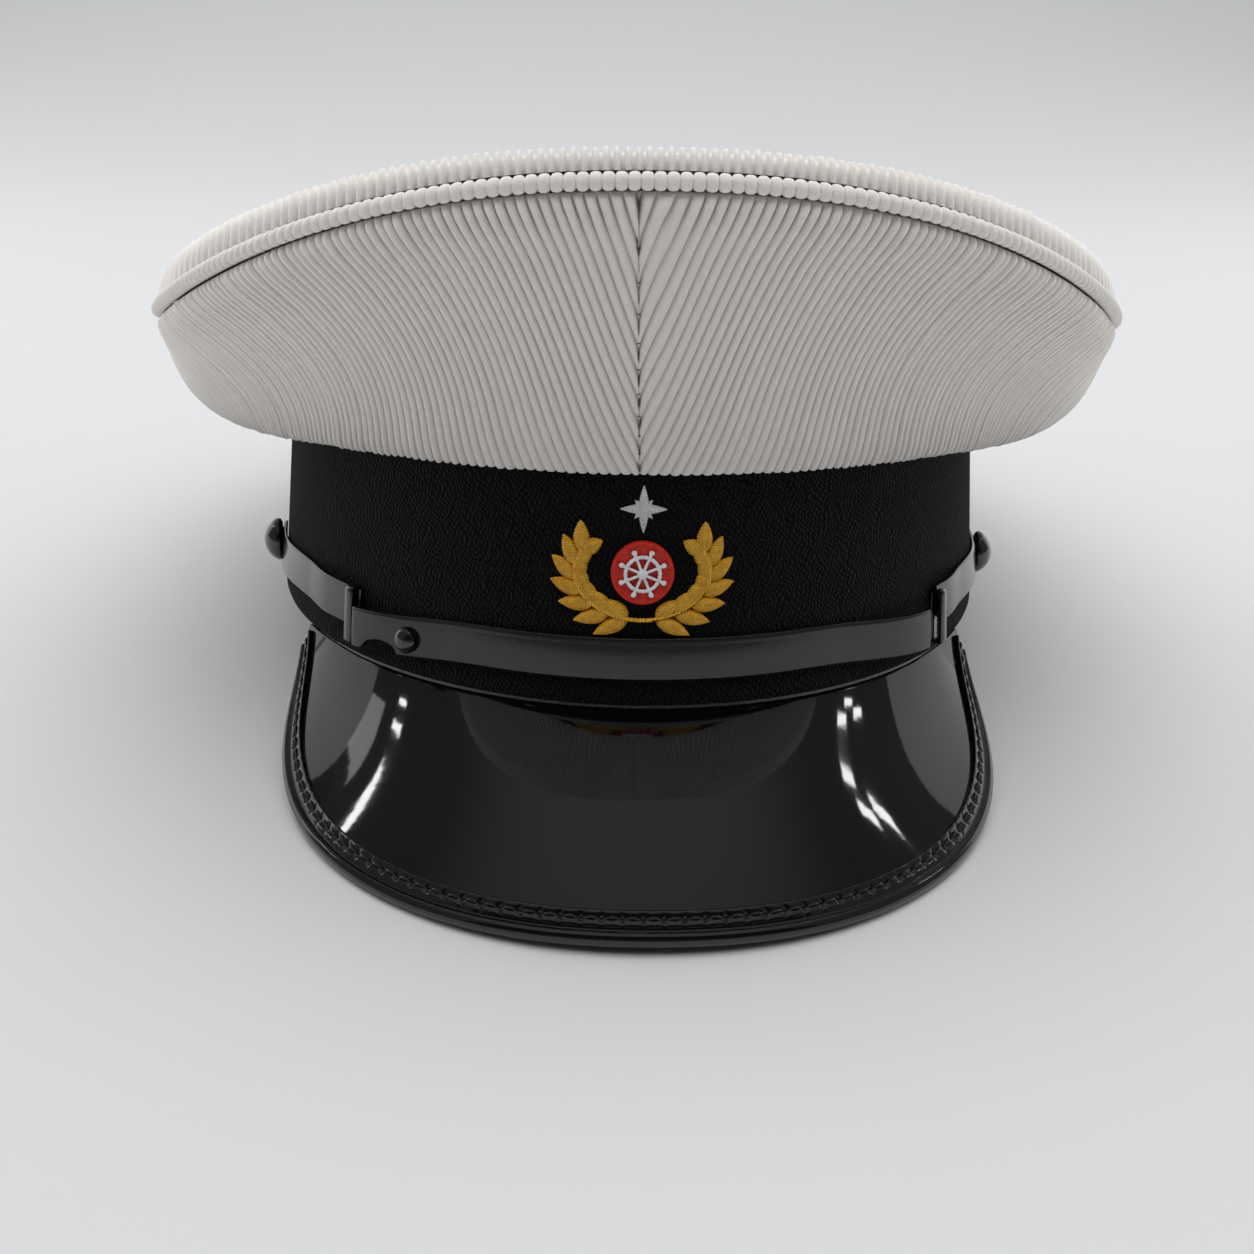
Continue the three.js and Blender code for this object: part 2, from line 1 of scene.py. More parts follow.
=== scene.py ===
import json
import math

import bpy
import numpy as np
from mathutils import Matrix


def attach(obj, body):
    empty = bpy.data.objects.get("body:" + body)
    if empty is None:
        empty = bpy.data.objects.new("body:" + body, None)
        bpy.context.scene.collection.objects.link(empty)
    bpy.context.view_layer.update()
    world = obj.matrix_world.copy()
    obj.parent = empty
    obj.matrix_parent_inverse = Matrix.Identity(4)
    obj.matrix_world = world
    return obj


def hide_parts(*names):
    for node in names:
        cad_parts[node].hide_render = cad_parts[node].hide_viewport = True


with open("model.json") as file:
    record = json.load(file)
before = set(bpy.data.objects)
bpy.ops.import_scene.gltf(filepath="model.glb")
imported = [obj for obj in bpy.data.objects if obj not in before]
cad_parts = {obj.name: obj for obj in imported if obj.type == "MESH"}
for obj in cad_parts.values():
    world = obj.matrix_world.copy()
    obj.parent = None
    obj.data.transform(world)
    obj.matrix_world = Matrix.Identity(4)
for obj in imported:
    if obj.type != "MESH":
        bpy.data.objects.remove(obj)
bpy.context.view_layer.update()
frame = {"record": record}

# ---------------------------------------------------------------- band
# The band is a stiff hoop covered in black mohair braid, which lies flat and close,
# with a turned hem below. Sizes in this file are millimetres in the cap's own frame
# (x right, y back, z up from the head opening); seated() makes them metres.

BAND_HALF_WIDTH = 87.0
BAND_HALF_LENGTH = 109.0
BAND_TAPER = 3.4
BAND_WALL = 2.6
BAND_HEM = 1.2
BAND_FRONT_HEIGHT = 46.2
BAND_SIDE_HEIGHT = 43.5
BAND_MEAN_RADIUS = (BAND_HALF_WIDTH + BAND_HALF_LENGTH) / 2
BAND_COLUMNS = 384
HEM_ROUND = 0.35
BRAID_PITCH = 1.0
BRAID_TURNS = (0.35, -0.8)
BRAID_WOBBLE = 14.0

head_opening = next(m for m in frame["record"]["mounts"] if m["name"] == "head_opening")
cap_place = np.array(head_opening["pos_m"])
cap_up = -np.array(head_opening["axis"])
cap_frame = np.array([[1, 0, 0], [0, cap_up[2], -cap_up[1]], cap_up])


def seated(places):
    """Places in the cap's own frame, moved to where the cap rests, in metres."""
    return cap_place + 0.001 * (places @ cap_frame)


def points(x, y, z):
    return np.stack(np.broadcast_arrays(x, y, z), axis=-1).astype(float)


def on_band(angle, height, proud=0.0):
    """A point on the band at an angle from the centre front, or standing proud of it."""
    narrowing = BAND_TAPER * np.asarray(height) / BAND_FRONT_HEIGHT - proud
    return points(
        (BAND_HALF_WIDTH - narrowing) * np.sin(angle),
        -(BAND_HALF_LENGTH - narrowing) * np.cos(angle),
        height,
    )


def front_share(angle):
    return np.clip(np.cos(angle), 0, None) ** 2


def band_top(angle):
    return BAND_SIDE_HEIGHT + (BAND_FRONT_HEIGHT - BAND_SIDE_HEIGHT) * front_share(angle)


def skin(name, grids, finish, round_closed=False, up_closed=False, lengths=None):
    """
    One mesh over grids of points, each with rows up and columns round, outer face out.
    The lengths are where each point lies across and up the cloth, in millimetres.
    """
    corners, faces, start = [], [], 0
    for grid in grids:
        rows, columns = grid.shape[:2]
        index = start + np.arange(rows * columns).reshape(rows, columns)
        if round_closed:
            index = np.hstack([index, index[:, :1]])
        if up_closed:
            index = np.vstack([index, index[:1]])
        quads = np.stack([index[:-1, :-1], index[:-1, 1:], index[1:, 1:], index[1:, :-1]], -1)
        faces.append(quads.reshape(-1, 4))
        corners.append(grid.reshape(-1, 3))
        start += rows * columns
    corners, faces = np.vstack(corners), np.vstack(faces)
    a, b, c, d = (corners[faces[:, k]] for k in range(4))
    area = np.linalg.norm(np.cross(c - a, d - b), axis=1)
    faces = faces[area > 1e-7]  # without those that close to nothing at a point
    used, faces = np.unique(faces, return_inverse=True)
    faces = faces.reshape(-1, 4)
    mesh = bpy.data.meshes.new(name)
    mesh.from_pydata(seated(corners[used]).tolist(), [], faces.tolist())
    if lengths is not None:
        layer = mesh.uv_layers.new(name="lengths")
        flat = np.vstack([side.reshape(-1, 2) for side in lengths])[used]
        layer.data.foreach_set("uv", flat[faces.reshape(-1)].astype(np.float32).ravel())
    mesh.shade_smooth()
    mesh.materials.append(finish)
    piece = bpy.data.objects.new(name, mesh)
    bpy.context.collection.objects.link(piece)
    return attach(piece, "root")


def new_finish(name, colour, roughness, shader_values=()):
    finish = bpy.data.materials.new(name)
    finish.use_nodes = True
    shader = finish.node_tree.nodes["Principled BSDF"]
    shader.inputs["Base Color"].default_value = (*colour, 1)
    shader.inputs["Roughness"].default_value = roughness
    for socket, value in dict(shader_values).items():
        shader.inputs[socket].default_value = value
    return finish


def add_node(finish, kind, values=(), **settings):
    """A node of a finish, with its settings, and its sockets filled by values or links."""
    node = finish.node_tree.nodes.new("ShaderNode" + kind)
    for setting, value in settings.items():
        setattr(node, setting, value)
    for socket, value in dict(values).items():
        if isinstance(value, bpy.types.NodeSocket):
            finish.node_tree.links.new(value, node.inputs[socket])
        else:
            node.inputs[socket].default_value = value
    return node


def shader_of(finish):
    return finish.node_tree.nodes["Principled BSDF"]


def emboss(finish, height, depth):
    """Raises the surface by height (0 to 1) times depth in metres."""
    bump = add_node(finish, "Bump", {"Height": height, "Distance": depth, "Strength": 1.0})
    finish.node_tree.links.new(bump.outputs["Normal"], shader_of(finish).inputs["Normal"])


def blend_colour(finish, share, low, high):
    """Colours the surface from low to high by share."""
    mix = add_node(finish, "Mix", {0: share, 6: (*low, 1), 7: (*high, 1)}, data_type="RGBA")
    finish.node_tree.links.new(mix.outputs[2], shader_of(finish).inputs["Base Color"])


def noise(finish, scale, detail=2.0):
    """Cloudy noise fixed to the object, with scale cells in a metre."""
    place = add_node(finish, "TexCoord").outputs["Object"]
    values = {"Vector": place, "Scale": scale, "Detail": detail}
    return add_node(finish, "TexNoise", values).outputs[0]


def thread_waves(finish, pitch, turn, wobble=0.0):
    """Even waves across the lengths map, pitch millimetres apart and turned."""
    lengths = add_node(finish, "TexCoord").outputs["UV"]
    turned = add_node(finish, "Mapping", {"Vector": lengths, "Rotation": (0, 0, turn)})
    scale = 0.1 * math.pi / pitch  # at a scale of 1, one wave is a tenth of pi long
    values = {"Vector": turned.outputs[0], "Scale": scale, "Distortion": wobble}
    values["Detail Scale"] = 0.5
    return add_node(finish, "TexWave", values).outputs["Color"]


def calculate(finish, operation, first, second):
    return add_node(finish, "Math", {0: first, 1: second}, operation=operation).outputs[0]


black_cloth = new_finish(
    "black_cloth",
    (0.006, 0.006, 0.008),
    0.9,
    {"Sheen Weight": 0.04, "Sheen Roughness": 0.5, "Specular IOR Level": 0.1},
)
strands = [thread_waves(black_cloth, BRAID_PITCH, turn, BRAID_WOBBLE) for turn in BRAID_TURNS]
braid = calculate(black_cloth, "MULTIPLY", *strands)
# sparse bright specks of noise: a fine fuzz bump, and painted highlights in the colour
fuzz_and_glints = calculate(black_cloth, "POWER", noise(black_cloth, 1100.0, 3.0), 3.0)
knots_and_glints = calculate(black_cloth, "ADD", braid, fuzz_and_glints)
emboss(black_cloth, knots_and_glints, 0.0004)
# the colour follows the braid's pattern and is lighter in the fuzz specks, which are painted
# highlights
blend_colour(black_cloth, knots_and_glints, (0.001, 0.001, 0.0015), (0.009, 0.009, 0.011))

round_band = np.linspace(-math.pi, math.pi, BAND_COLUMNS, endpoint=False)
band_profile = [(0, -BAND_WALL), (0, -BAND_HEM), (HEM_ROUND, -HEM_ROUND), (BAND_HEM, 0)]
band_rows = [on_band(round_band, up, proud) for up, proud in band_profile]
band_rows += [on_band(round_band, s * band_top(round_band)) for s in np.linspace(0.06, 0.98, 24)]
band_rows += [on_band(round_band, band_top(round_band), proud) for proud in (-0.2, -BAND_WALL)]
band_rows += [on_band(round_band, BAND_HEM, -BAND_WALL)]
band_grid = np.array(band_rows)
band_lengths = points(round_band * BAND_MEAN_RADIUS, 0.0, 0.0)[:, :2] + 0 * band_grid[..., :2]
band_lengths[..., 1] = band_grid[..., 2]
band = skin("band_cloth", [band_grid], black_cloth, True, True, [band_lengths])
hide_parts("band")

# ---------------------------------------------------------------- crown sides
# Two side panels of white ribbed cloth, cut on the bias so that their cords meet in a
# chevron at the front seam. They rise from the band and lean out to the rim.

RIM_HALF_WIDTH = 110.7
RIM_HALF_LENGTH = 130.3
RIM_SQUARENESS = 2.28
RIM_FRONT_HEIGHT = 100.3
RIM_SIDE_HEIGHT = 65.25
RIM_BACK_HEIGHT = 80.0
PIPING_RADIUS = 1.4
SEAT_GAP = 0.3
CLOTH_TUCK = 0.6
CLOTH_LAP = 0.9
FRONT_BULGE = (0.543, 0.334)
SIDE_BULGE = (0.903, -0.265)
SEAM_ANGLE = -0.0265
SIDE_RIB_HEIGHT = 1.25
HEAD_SWELL = 1.7
HEAD_DROP = 0.1
HEAD_GROOVE = 1.3
HEAD_TURN_IN = 0.6
HEAD_ROUNDING = 0.025
FOOT_ROUNDING = 0.04
PANEL_LIFT = 0.35
PRESSED_SHARE = 0.55
SEAM_DIP = 0.4
SEAM_DIP_ANGLE = 0.005
RIBS_ROUND_PANEL = 274
RIBS_COUNTED_AT = 0.55
# how close the cords stand: on the seam, and what each radian from it and its square add
RIB_CROWDING = {"at_seam": 63, "per_radian": 10, "per_square": 25}
# a cord's section: how far across its pitch, and how much of its height it has there
RIB_SECTION = {
    "across": (0, 0.06, 0.13, 0.28, 0.5, 0.72, 0.87, 0.94),
    "height": (0, 0.36, 0.68, 0.93, 1, 0.93, 0.68, 0.36),
}
# how far a cord runs round the cap for each whole height of the panel: where it stands
# on the front seam, and what is added for each radian from the seam and its square
RIB_COURSE = {
    "share": (0.0, 0.15, 0.3, 0.4, 0.5, 0.6, 0.7, 0.8, 0.9, 1.0),
    "at_seam": (0.19, 0.19, 0.185, 0.18, 0.18, 0.17, 0.16, 0.155, 0.15, 0.15),
    "per_radian": (-0.92, -0.93, -0.92, -0.84, -0.68, -0.45, -0.22, -0.06, 0.0, 0.0),
    "per_square": (0.0, 0.0, 0.02, 0.06, 0.14, 0.3, 0.55, 0.8, 0.78, 0.65),
}
UP = np.array([0.0, 0.0, 1.0])


def unit(vectors):
    return vectors / np.linalg.norm(vectors, axis=-1, keepdims=True)


def smooth_step(value, low, high):
    share = np.clip((np.asarray(value) - low) / (high - low), 0, 1)
    return share * share * (3 - 2 * share)


def signed_power(value, power):
    return np.sign(value) * np.abs(value) ** power


def rim_line(angle):
    """The line of the piping: an oval that is high in front and sinks at the sides."""
    back_share = np.clip(-np.cos(angle), 0, None) ** 2
    return points(
        RIM_HALF_WIDTH * signed_power(np.sin(angle), 2 / RIM_SQUARENESS),
        -RIM_HALF_LENGTH * signed_power(np.cos(angle), 2 / RIM_SQUARENESS),
        RIM_SIDE_HEIGHT
        + (RIM_FRONT_HEIGHT - RIM_SIDE_HEIGHT) * front_share(angle)
        + (RIM_BACK_HEIGHT - RIM_SIDE_HEIGHT) * back_share,
    )


def rim_outwards(angle):
    along = rim_line(angle + 0.01) - rim_line(angle - 0.01)
    return unit(points(along[..., 1], -along[..., 0], 0.0))


def crown_side(angle, share):
    """The side panel's face, from the band at share 0 up to the rim seam at share 1."""
    foot = on_band(angle, band_top(angle) - CLOTH_LAP * (0.3 + 0.7 * front_share(angle)), 0.2)
    head = rim_line(angle) - CLOTH_TUCK * rim_outwards(angle)
    head = head - (PIPING_RADIUS + SEAT_GAP + HEAD_DROP) * UP
    sideways = (np.sin(angle) ** 2)[..., None]
    out = FRONT_BULGE[0] + (SIDE_BULGE[0] - FRONT_BULGE[0]) * sideways
    up = FRONT_BULGE[1] + (SIDE_BULGE[1] - FRONT_BULGE[1]) * sideways
    middle = foot + (head - foot) * np.concatenate([out, out, up], axis=-1)
    share = share[..., None]
    return (1 - share) ** 2 * foot + 2 * share * (1 - share) * middle + share**2 * head


def rib_course(angle, share):
    at_seam, per_radian, per_square = (
        np.interp(share, RIB_COURSE["share"], RIB_COURSE[column])
        for column in ("at_seam", "per_radian", "per_square")
    )
    angle = np.clip(angle, 0, None)
    course = at_seam + per_radian * angle + per_square * angle**2
    return course * (1 - smooth_step(angle, 0.85, 1.57))


def follow_ribs(start_angles, shares, middle):
    """The angle of each cord at each share of the height, from where it is half way up."""
    found = {middle: start_angles}
    for step in (1, -1):
        angle = start_angles
        last = len(shares) if step > 0 else -1
        for row in range(middle + step, last, step):
            rise = (shares[row] - shares[row - step]) / 4
            for part in range(4):
                share = shares[row - step] + part * rise
                ahead = angle + 0.5 * rise * rib_course(angle, share)
                angle = angle + rise * rib_course(ahead, share + 0.5 * rise)
            found[row] = angle
    return np.array([found[row] for row in range(len(shares))])


white_cloth = new_finish(
    "white_cloth",
    (0.62, 0.61, 0.59),
    0.7,
    {"Sheen Weight": 0.1, "Sheen Roughness": 0.4, "Specular IOR Level": 0.3},
)
cloth_grain = noise(white_cloth, 1200.0, 3.0)
blend_colour(white_cloth, cloth_grain, (0.74, 0.703, 0.665), (0.86, 0.828, 0.793))
emboss(white_cloth, cloth_grain, 0.00008)

luck = np.random.default_rng(7)
foot_shares = [0, 0.008, 0.02, 0.04]
head_shares = [0.95, 0.965, 0.975, 0.985, 0.993, 0.998, 1]
rib_shares = np.concatenate([foot_shares, np.linspace(0.07, 0.93, 20), head_shares])
rib_middle = int(np.argmin(np.abs(rib_shares - RIBS_COUNTED_AT)))
label_angles = np.linspace(-0.14, math.pi / 2, 400)
from_front = np.clip(label_angles, 0, 0.9)
at_seam, per_radian, per_square = RIB_CROWDING.values()
rib_numbers = np.cumsum(at_seam + per_radian * from_front + per_square * from_front**2)
rib_numbers = rib_numbers / rib_numbers[-1] * RIBS_ROUND_PANEL / 2
ribs = np.arange(math.floor(rib_numbers[0]) + 1, RIBS_ROUND_PANEL // 2)
across_rib, rib_swell = np.array(list(RIB_SECTION.values()))
labels = np.append((ribs[:, None] + across_rib[None]).ravel(), RIBS_ROUND_PANEL / 2)
front_angles = follow_ribs(np.interp(labels, rib_numbers, label_angles), rib_shares, rib_middle)
from_seam = np.hstack([front_angles, math.pi - front_angles[:, -2::-1]])
from_seam = np.clip(from_seam, 0, math.pi)
panel_shares = np.repeat(rib_shares[:, None], from_seam.shape[1], axis=1)
rounded_feet = np.sqrt(1 - (1 - np.clip(panel_shares / FOOT_ROUNDING, 0, 1)) ** 2)
rounded_heads = np.sqrt(1 - (1 - np.clip((1 - panel_shares) / HEAD_ROUNDING, 0, 1)) ** 2)
head_swell = HEAD_SWELL * smooth_step(panel_shares, 0.84, 0.965)
head_swell = head_swell * (0.35 + 0.65 * np.cos(from_seam) ** 2)
near_end = np.minimum(from_seam, math.pi - from_seam)
pressed_flat = smooth_step(near_end - 0.45 * panel_shares, 0.8, 1.2)
seam_dip = SEAM_DIP * np.exp(-((near_end / SEAM_DIP_ANGLE) ** 2))
for name, side in (("right", 1), ("left", -1)):
    rib_heights = (rib_swell[None] * luck.uniform(0.85, 1.1, len(ribs))[:, None]).ravel()
    rib_heights = np.append(rib_heights, 0.0)
    rib_heights = np.append(rib_heights, rib_heights[-2::-1])
    angles = SEAM_ANGLE + side * from_seam
    face = crown_side(angles, panel_shares)
    face_round = crown_side(angles + 0.004, panel_shares) - crown_side(angles - 0.004, panel_shares)
    face_up = crown_side(angles, panel_shares + 0.004) - crown_side(angles, panel_shares - 0.004)
    normals = unit(np.cross(face_round, face_up))
    relief = SIDE_RIB_HEIGHT * (1 - PRESSED_SHARE * pressed_flat)
    relief = relief + HEAD_GROOVE * smooth_step(panel_shares, 0.88, 0.97)
    proud = relief * (rib_heights * rounded_feet - 1) + PANEL_LIFT + head_swell - seam_dip
    proud = proud * rounded_heads - HEAD_TURN_IN * (1 - rounded_heads)
    panel = face + normals * proud[..., None]
    piece = skin("crown_side_cloth_" + name, [panel[:, ::side]], white_cloth)
    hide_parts("crown_side_" + name)

# ---------------------------------------------------------------- crown seam
# The two side panels are sewn together down the front, so the seam sinks between them
# and its stitches show as dark specks, a few millimetres apart.

SEAM_STITCHES = 11
SEAM_THREAD_RADIUS = 0.1
SEAM_STEPS = 90
SEAM_SWAY = 0.0016
SEAM_WOBBLE = 0.001
SEAM_SUNK = 0.5
STITCH_HALF_ANGLE = 0.003
STITCH_PROUD = 0.12


def tube(line, radii, sides=8):
    """A round thread along a line of points, as a grid that is closed round its rows."""
    along = unit(np.gradient(line, axis=0))
    hint = np.where(np.abs(along[:, 2:]) > 0.9, [[0, -1.0, 0]], [UP])
    aside = unit(np.cross(along, hint))
    above = np.cross(aside, along)
    turns = np.linspace(0, 2 * math.pi, sides, endpoint=False)[:, None, None]
    radii = np.broadcast_to(radii, len(line))[None, :, None]
    return line + radii * (np.cos(turns) * aside + np.sin(turns) * above)


seam_shares = np.linspace(0.03, 0.97, SEAM_STEPS)
seam_sway = SEAM_SWAY * np.sin(seam_shares * SEAM_STITCHES * 2 * math.pi)
seam_sway = seam_sway + SEAM_WOBBLE * luck.normal(size=SEAM_STEPS)
seam_line = crown_side(SEAM_ANGLE + seam_sway, seam_shares) + [0, SEAM_SUNK, 0]
seam_radii = SEAM_THREAD_RADIUS * luck.uniform(0.7, 1.2, SEAM_STEPS)
seam_grids = [tube(seam_line, seam_radii)]
for share in (np.arange(SEAM_STITCHES) + 0.5) / SEAM_STITCHES:
    across = SEAM_ANGLE + np.linspace(-STITCH_HALF_ANGLE, STITCH_HALF_ANGLE, 7)
    stitch = crown_side(across, share + 0 * across) - [0, STITCH_PROUD, 0]
    seam_grids.append(tube(stitch, SEAM_THREAD_RADIUS * np.array([0, 0.8, 1, 1.1, 1, 0.8, 0])))
seam_thread = new_finish("seam_thread", (0.03, 0.028, 0.027), 0.8)
blend_colour(seam_thread, noise(seam_thread, 800.0), (0.03, 0.028, 0.026), (0.16, 0.15, 0.14))
seam = skin("crown_seam_thread", seam_grids, seam_thread, False, True)

# ---------------------------------------------------------------- crown piping
# A cord wrapped in a strip of the same ribbed cloth and sewn into the rim seam, so
# the cords of the cloth show as a row of small barrels, slanted at the sides.

PIPING_BARRELS = 370
BARREL_GROOVE = 0.7
BARREL_SLANT = 1.1
BARREL_PROUD = 0.2
PIPING_SIDES = 16

along_barrel = np.array([0, 0.06, 0.16, 0.33, 0.5, 0.67, 0.84, 0.94])
barrel_swell = (1 - np.abs(2 * along_barrel - 1) ** 3) ** 0.6
even_angles = np.linspace(0, 2 * math.pi, 4001)
rim_steps = np.linalg.norm(np.diff(rim_line(even_angles), axis=0), axis=1)
rim_lengths = np.append(0, np.cumsum(rim_steps))
barrel_places = (np.arange(PIPING_BARRELS)[:, None] + along_barrel[None]).ravel()
barrel_lengths = barrel_places / PIPING_BARRELS * rim_lengths[-1]
barrel_angles = np.interp(barrel_lengths, rim_lengths, even_angles)
barrel_grooves = BARREL_GROOVE * (np.tile(barrel_swell, PIPING_BARRELS) - 1)
barrel_radii = PIPING_RADIUS + BARREL_PROUD + barrel_grooves
turns = np.linspace(0, 2 * math.pi, PIPING_SIDES, endpoint=False)[:, None]
slant = BARREL_SLANT * 2 * math.pi / PIPING_BARRELS * np.sin(barrel_angles) ** 3
slanted = barrel_angles + slant * np.sin(turns)
piping_grid = (
    rim_line(slanted)
    + (barrel_radii * np.cos(turns))[..., None] * rim_outwards(slanted)
    - (barrel_radii * np.sin(turns))[..., None] * UP
)
piping = skin("crown_piping_cloth", [piping_grid[::-1]], white_cloth, True, True)
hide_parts("crown_piping")

# ---------------------------------------------------------------- crown top
# The oval top panel, whose cords run straight from front to back. It is stretched over
# a wire inside the rim, so its edge rolls down to the piping all the way round.

FRONT_ROLL_INSET = 3.0
SIDE_ROLL_INSET = 5.6
FRONT_ROLL_HEIGHT = 3.8
SIDE_ROLL_HEIGHT = 9.6
TOP_CENTRE_HEIGHT = 80.5
TOP_RIB_PITCH = 1.8
TOP_RIB_HEIGHT = 1.15
TOP_SPREAD = 0.6
TOP_SMOOTH_SUNK = 0.25
TOP_EDGE_DISH = 0.07
TOP_RIB_SECTION = {
    "across": (0, 0.13, 0.18, 0.3, 0.45, 0.6, 0.72, 0.77),
    "height": (0, 0.06, 0.55, 0.93, 1, 0.93, 0.55, 0.06),
}


def roll_sizes(angle):
    front = front_share(angle)
    inset = SIDE_ROLL_INSET + (FRONT_ROLL_INSET - SIDE_ROLL_INSET) * front
    return inset, SIDE_ROLL_HEIGHT + (FRONT_ROLL_HEIGHT - SIDE_ROLL_HEIGHT) * front


def on_roll(angle, turn):
    """The rolled edge, from turn 0 at the piping up to a quarter turn at the flat."""
    inset, height = (size[..., None] for size in roll_sizes(angle))
    out = rim_outwards(angle)
    base = rim_line(angle) - inset * out + (PIPING_RADIUS + SEAT_GAP) * UP
    face = base + inset * math.cos(turn) * out + height * math.sin(turn) * UP
    return face, unit(out * math.cos(turn) * height + UP * math.sin(turn) * inset)


top_columns = math.ceil((RIM_HALF_WIDTH + 3.5) / TOP_RIB_PITCH)
across_top_rib, top_swell = np.array(list(TOP_RIB_SECTION.values()))
top_ribs = np.arange(-top_columns, top_columns)
top_x = TOP_RIB_PITCH * (top_ribs[:, None] + across_top_rib[None]).ravel()
top_rib_heights = (top_swell[None] * luck.uniform(0.85, 1.1, len(top_ribs))[:, None]).ravel()
half_round = np.linspace(-math.pi / 2, math.pi / 2, 2001)
front_rows, back_rows = [], []
for turn in np.linspace(0, math.pi / 2, 15):
    # each cord keeps to its own x on the flat, and spreads a little down the roll
    spread = 1 + TOP_SPREAD * roll_sizes(half_round)[0] / RIM_HALF_WIDTH * math.cos(turn)
    for rows, angles in ((front_rows, half_round), (back_rows, math.pi - half_round)):
        reach = on_roll(angles, math.pi / 2)[0][:, 0] * spread
        rows.append(on_roll(np.interp(top_x, reach, angles), turn))
front_edge, back_edge = front_rows[-1][0], back_rows[-1][0]
all_round = np.linspace(-math.pi, math.pi, 4001)
edge_round = on_roll(all_round, math.pi / 2)[0]
edge_bearings = np.unwrap(np.arctan2(edge_round[:, 0], -edge_round[:, 1]))
panel_rows = []
for share in np.linspace(0, 1, 42)[1:-1]:
    flat = front_edge + (back_edge - front_edge) * (share * share * (3 - 2 * share))
    bearing = np.arctan2(flat[:, 0], -flat[:, 1])
    edge = on_roll(np.interp(bearing, edge_bearings, all_round), math.pi / 2)[0]
    reach = np.hypot(flat[:, 0], flat[:, 1]) / np.hypot(edge[:, 0], edge[:, 1])
    reach = np.clip(reach, 0, 1)
    lift = reach**2 + 2 * (1 - reach) * np.exp(-(((1 - reach) / TOP_EDGE_DISH) ** 2))
    flat[:, 2] = TOP_CENTRE_HEIGHT + (edge[:, 2] - TOP_CENTRE_HEIGHT) * lift
    panel_rows.append((flat, np.tile(UP, (len(flat), 1))))
top_all = front_rows + panel_rows + back_rows[::-1]
top_grid = np.array([row for row, direction in top_all])
top_normals = np.array([direction for row, direction in top_all])
# the cords run along the rolled edge at the far sides, so they stand up less there
stretch = np.linalg.norm(np.gradient(top_grid, axis=1), axis=-1) / np.gradient(top_x)
ribbed = smooth_step(stretch, 0.3, 0.8) * (1 - 0.92 * smooth_step(stretch, 1.4, 2.6))
top_relief = TOP_RIB_HEIGHT * ribbed * (top_rib_heights - 1) - TOP_SMOOTH_SUNK * (1 - ribbed)
top_grid = top_grid + top_normals * top_relief[..., None]
crown_top = skin("crown_top_cloth", [top_grid], white_cloth)
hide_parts("crown_top")

# ---------------------------------------------------------------- peak
# A curved sheet of board under black patent leather, sewn behind the band's hem. The
# patent face is a hard clear gloss with a very slight orange-peel ripple.

PEAK_HALF_SPAN = 1.035
PEAK_DEPTH = 47.3
PEAK_OUTLINE_POWER = 2.48
PEAK_FRONT_SLOPE = 0.6
PEAK_SIDE_SLOPE = 0.3
PEAK_END_SLOPE = 1.27
PEAK_SLOPE_POWER = 6.5
PEAK_FRONT_CURL = 0.3
PEAK_SIDE_CURL = -0.5
PEAK_THICKNESS = 1.8
PEAK_TUCK = 0.5
PEAK_END_SHARE = 0.985
PEAK_COLUMNS = 201
PEAK_ROWS = 49


def band_outwards(angle):
    return unit(points(np.sin(angle) / BAND_HALF_WIDTH, -np.cos(angle) / BAND_HALF_LENGTH, 0.0))


def peak_length(angle):
    return PEAK_DEPTH * (1 - (np.abs(angle) / PEAK_HALF_SPAN) ** PEAK_OUTLINE_POWER)


def on_peak(angle, run, rise=0.0):
    """A point run millimetres out along the peak's curved face, and rise off the face."""
    angle, run, rise = np.broadcast_arrays(angle, run, rise)
    share = np.abs(angle) / PEAK_HALF_SPAN
    length = peak_length(angle)
    end_growth = PEAK_END_SLOPE - PEAK_FRONT_SLOPE - PEAK_SIDE_SLOPE
    slope = PEAK_FRONT_SLOPE + PEAK_SIDE_SLOPE * share**2 + end_growth * share**PEAK_SLOPE_POWER
    curl = (1 - share**2) * (PEAK_FRONT_CURL + 4 * share**2 * PEAK_SIDE_CURL)
    curl = np.where(np.abs(curl) < 1e-4, 1e-4, curl)
    start = slope - curl / 2
    bent = np.minimum(run, length)
    turn = start + curl * bent / length
    past = run - bent
    radius = length / curl
    out = radius * (np.sin(turn) - np.sin(start)) + past * np.cos(turn) + rise * np.sin(turn)
    down = radius * (np.cos(start) - np.cos(turn)) + past * np.sin(turn) - rise * np.cos(turn)
    root = on_band(angle, 0.0, -PEAK_TUCK)
    return root + band_outwards(angle) * out[..., None] - UP * (down + SEAT_GAP)[..., None]


def peak_angles(count, end_share):
    return PEAK_HALF_SPAN * end_share * np.sin(np.linspace(-1, 1, count) * math.pi / 2)


patent = new_finish(
    "patent_leather",
    (0.002, 0.002, 0.003),
    0.04,
    {"Specular IOR Level": 0.55},
)
ripple = calculate(patent, "MULTIPLY", noise(patent, 420.0, 1.0), 0.12)
slow_ripple = calculate(patent, "MULTIPLY", noise(patent, 60.0, 1.0), 0.9)
emboss(patent, calculate(patent, "ADD", ripple, slow_ripple), 0.00003)

across_peak = peak_angles(PEAK_COLUMNS, PEAK_END_SHARE)
peak_runs = np.linspace(0, 1, PEAK_ROWS)[:, None] * peak_length(across_peak)
peak_face = on_peak(across_peak, peak_runs)
peak_back = on_peak(across_peak, peak_runs, -PEAK_THICKNESS)
peak_grid = np.concatenate([peak_face[::-1], peak_back])
peak = skin("peak_patent", [peak_grid], patent, False, True)
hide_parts("peak")

# ---------------------------------------------------------------- peak binding
# A strip of black leather folded over the peak's edge, with a cord in its fold that
# makes the round bead, stitched through along the bead.

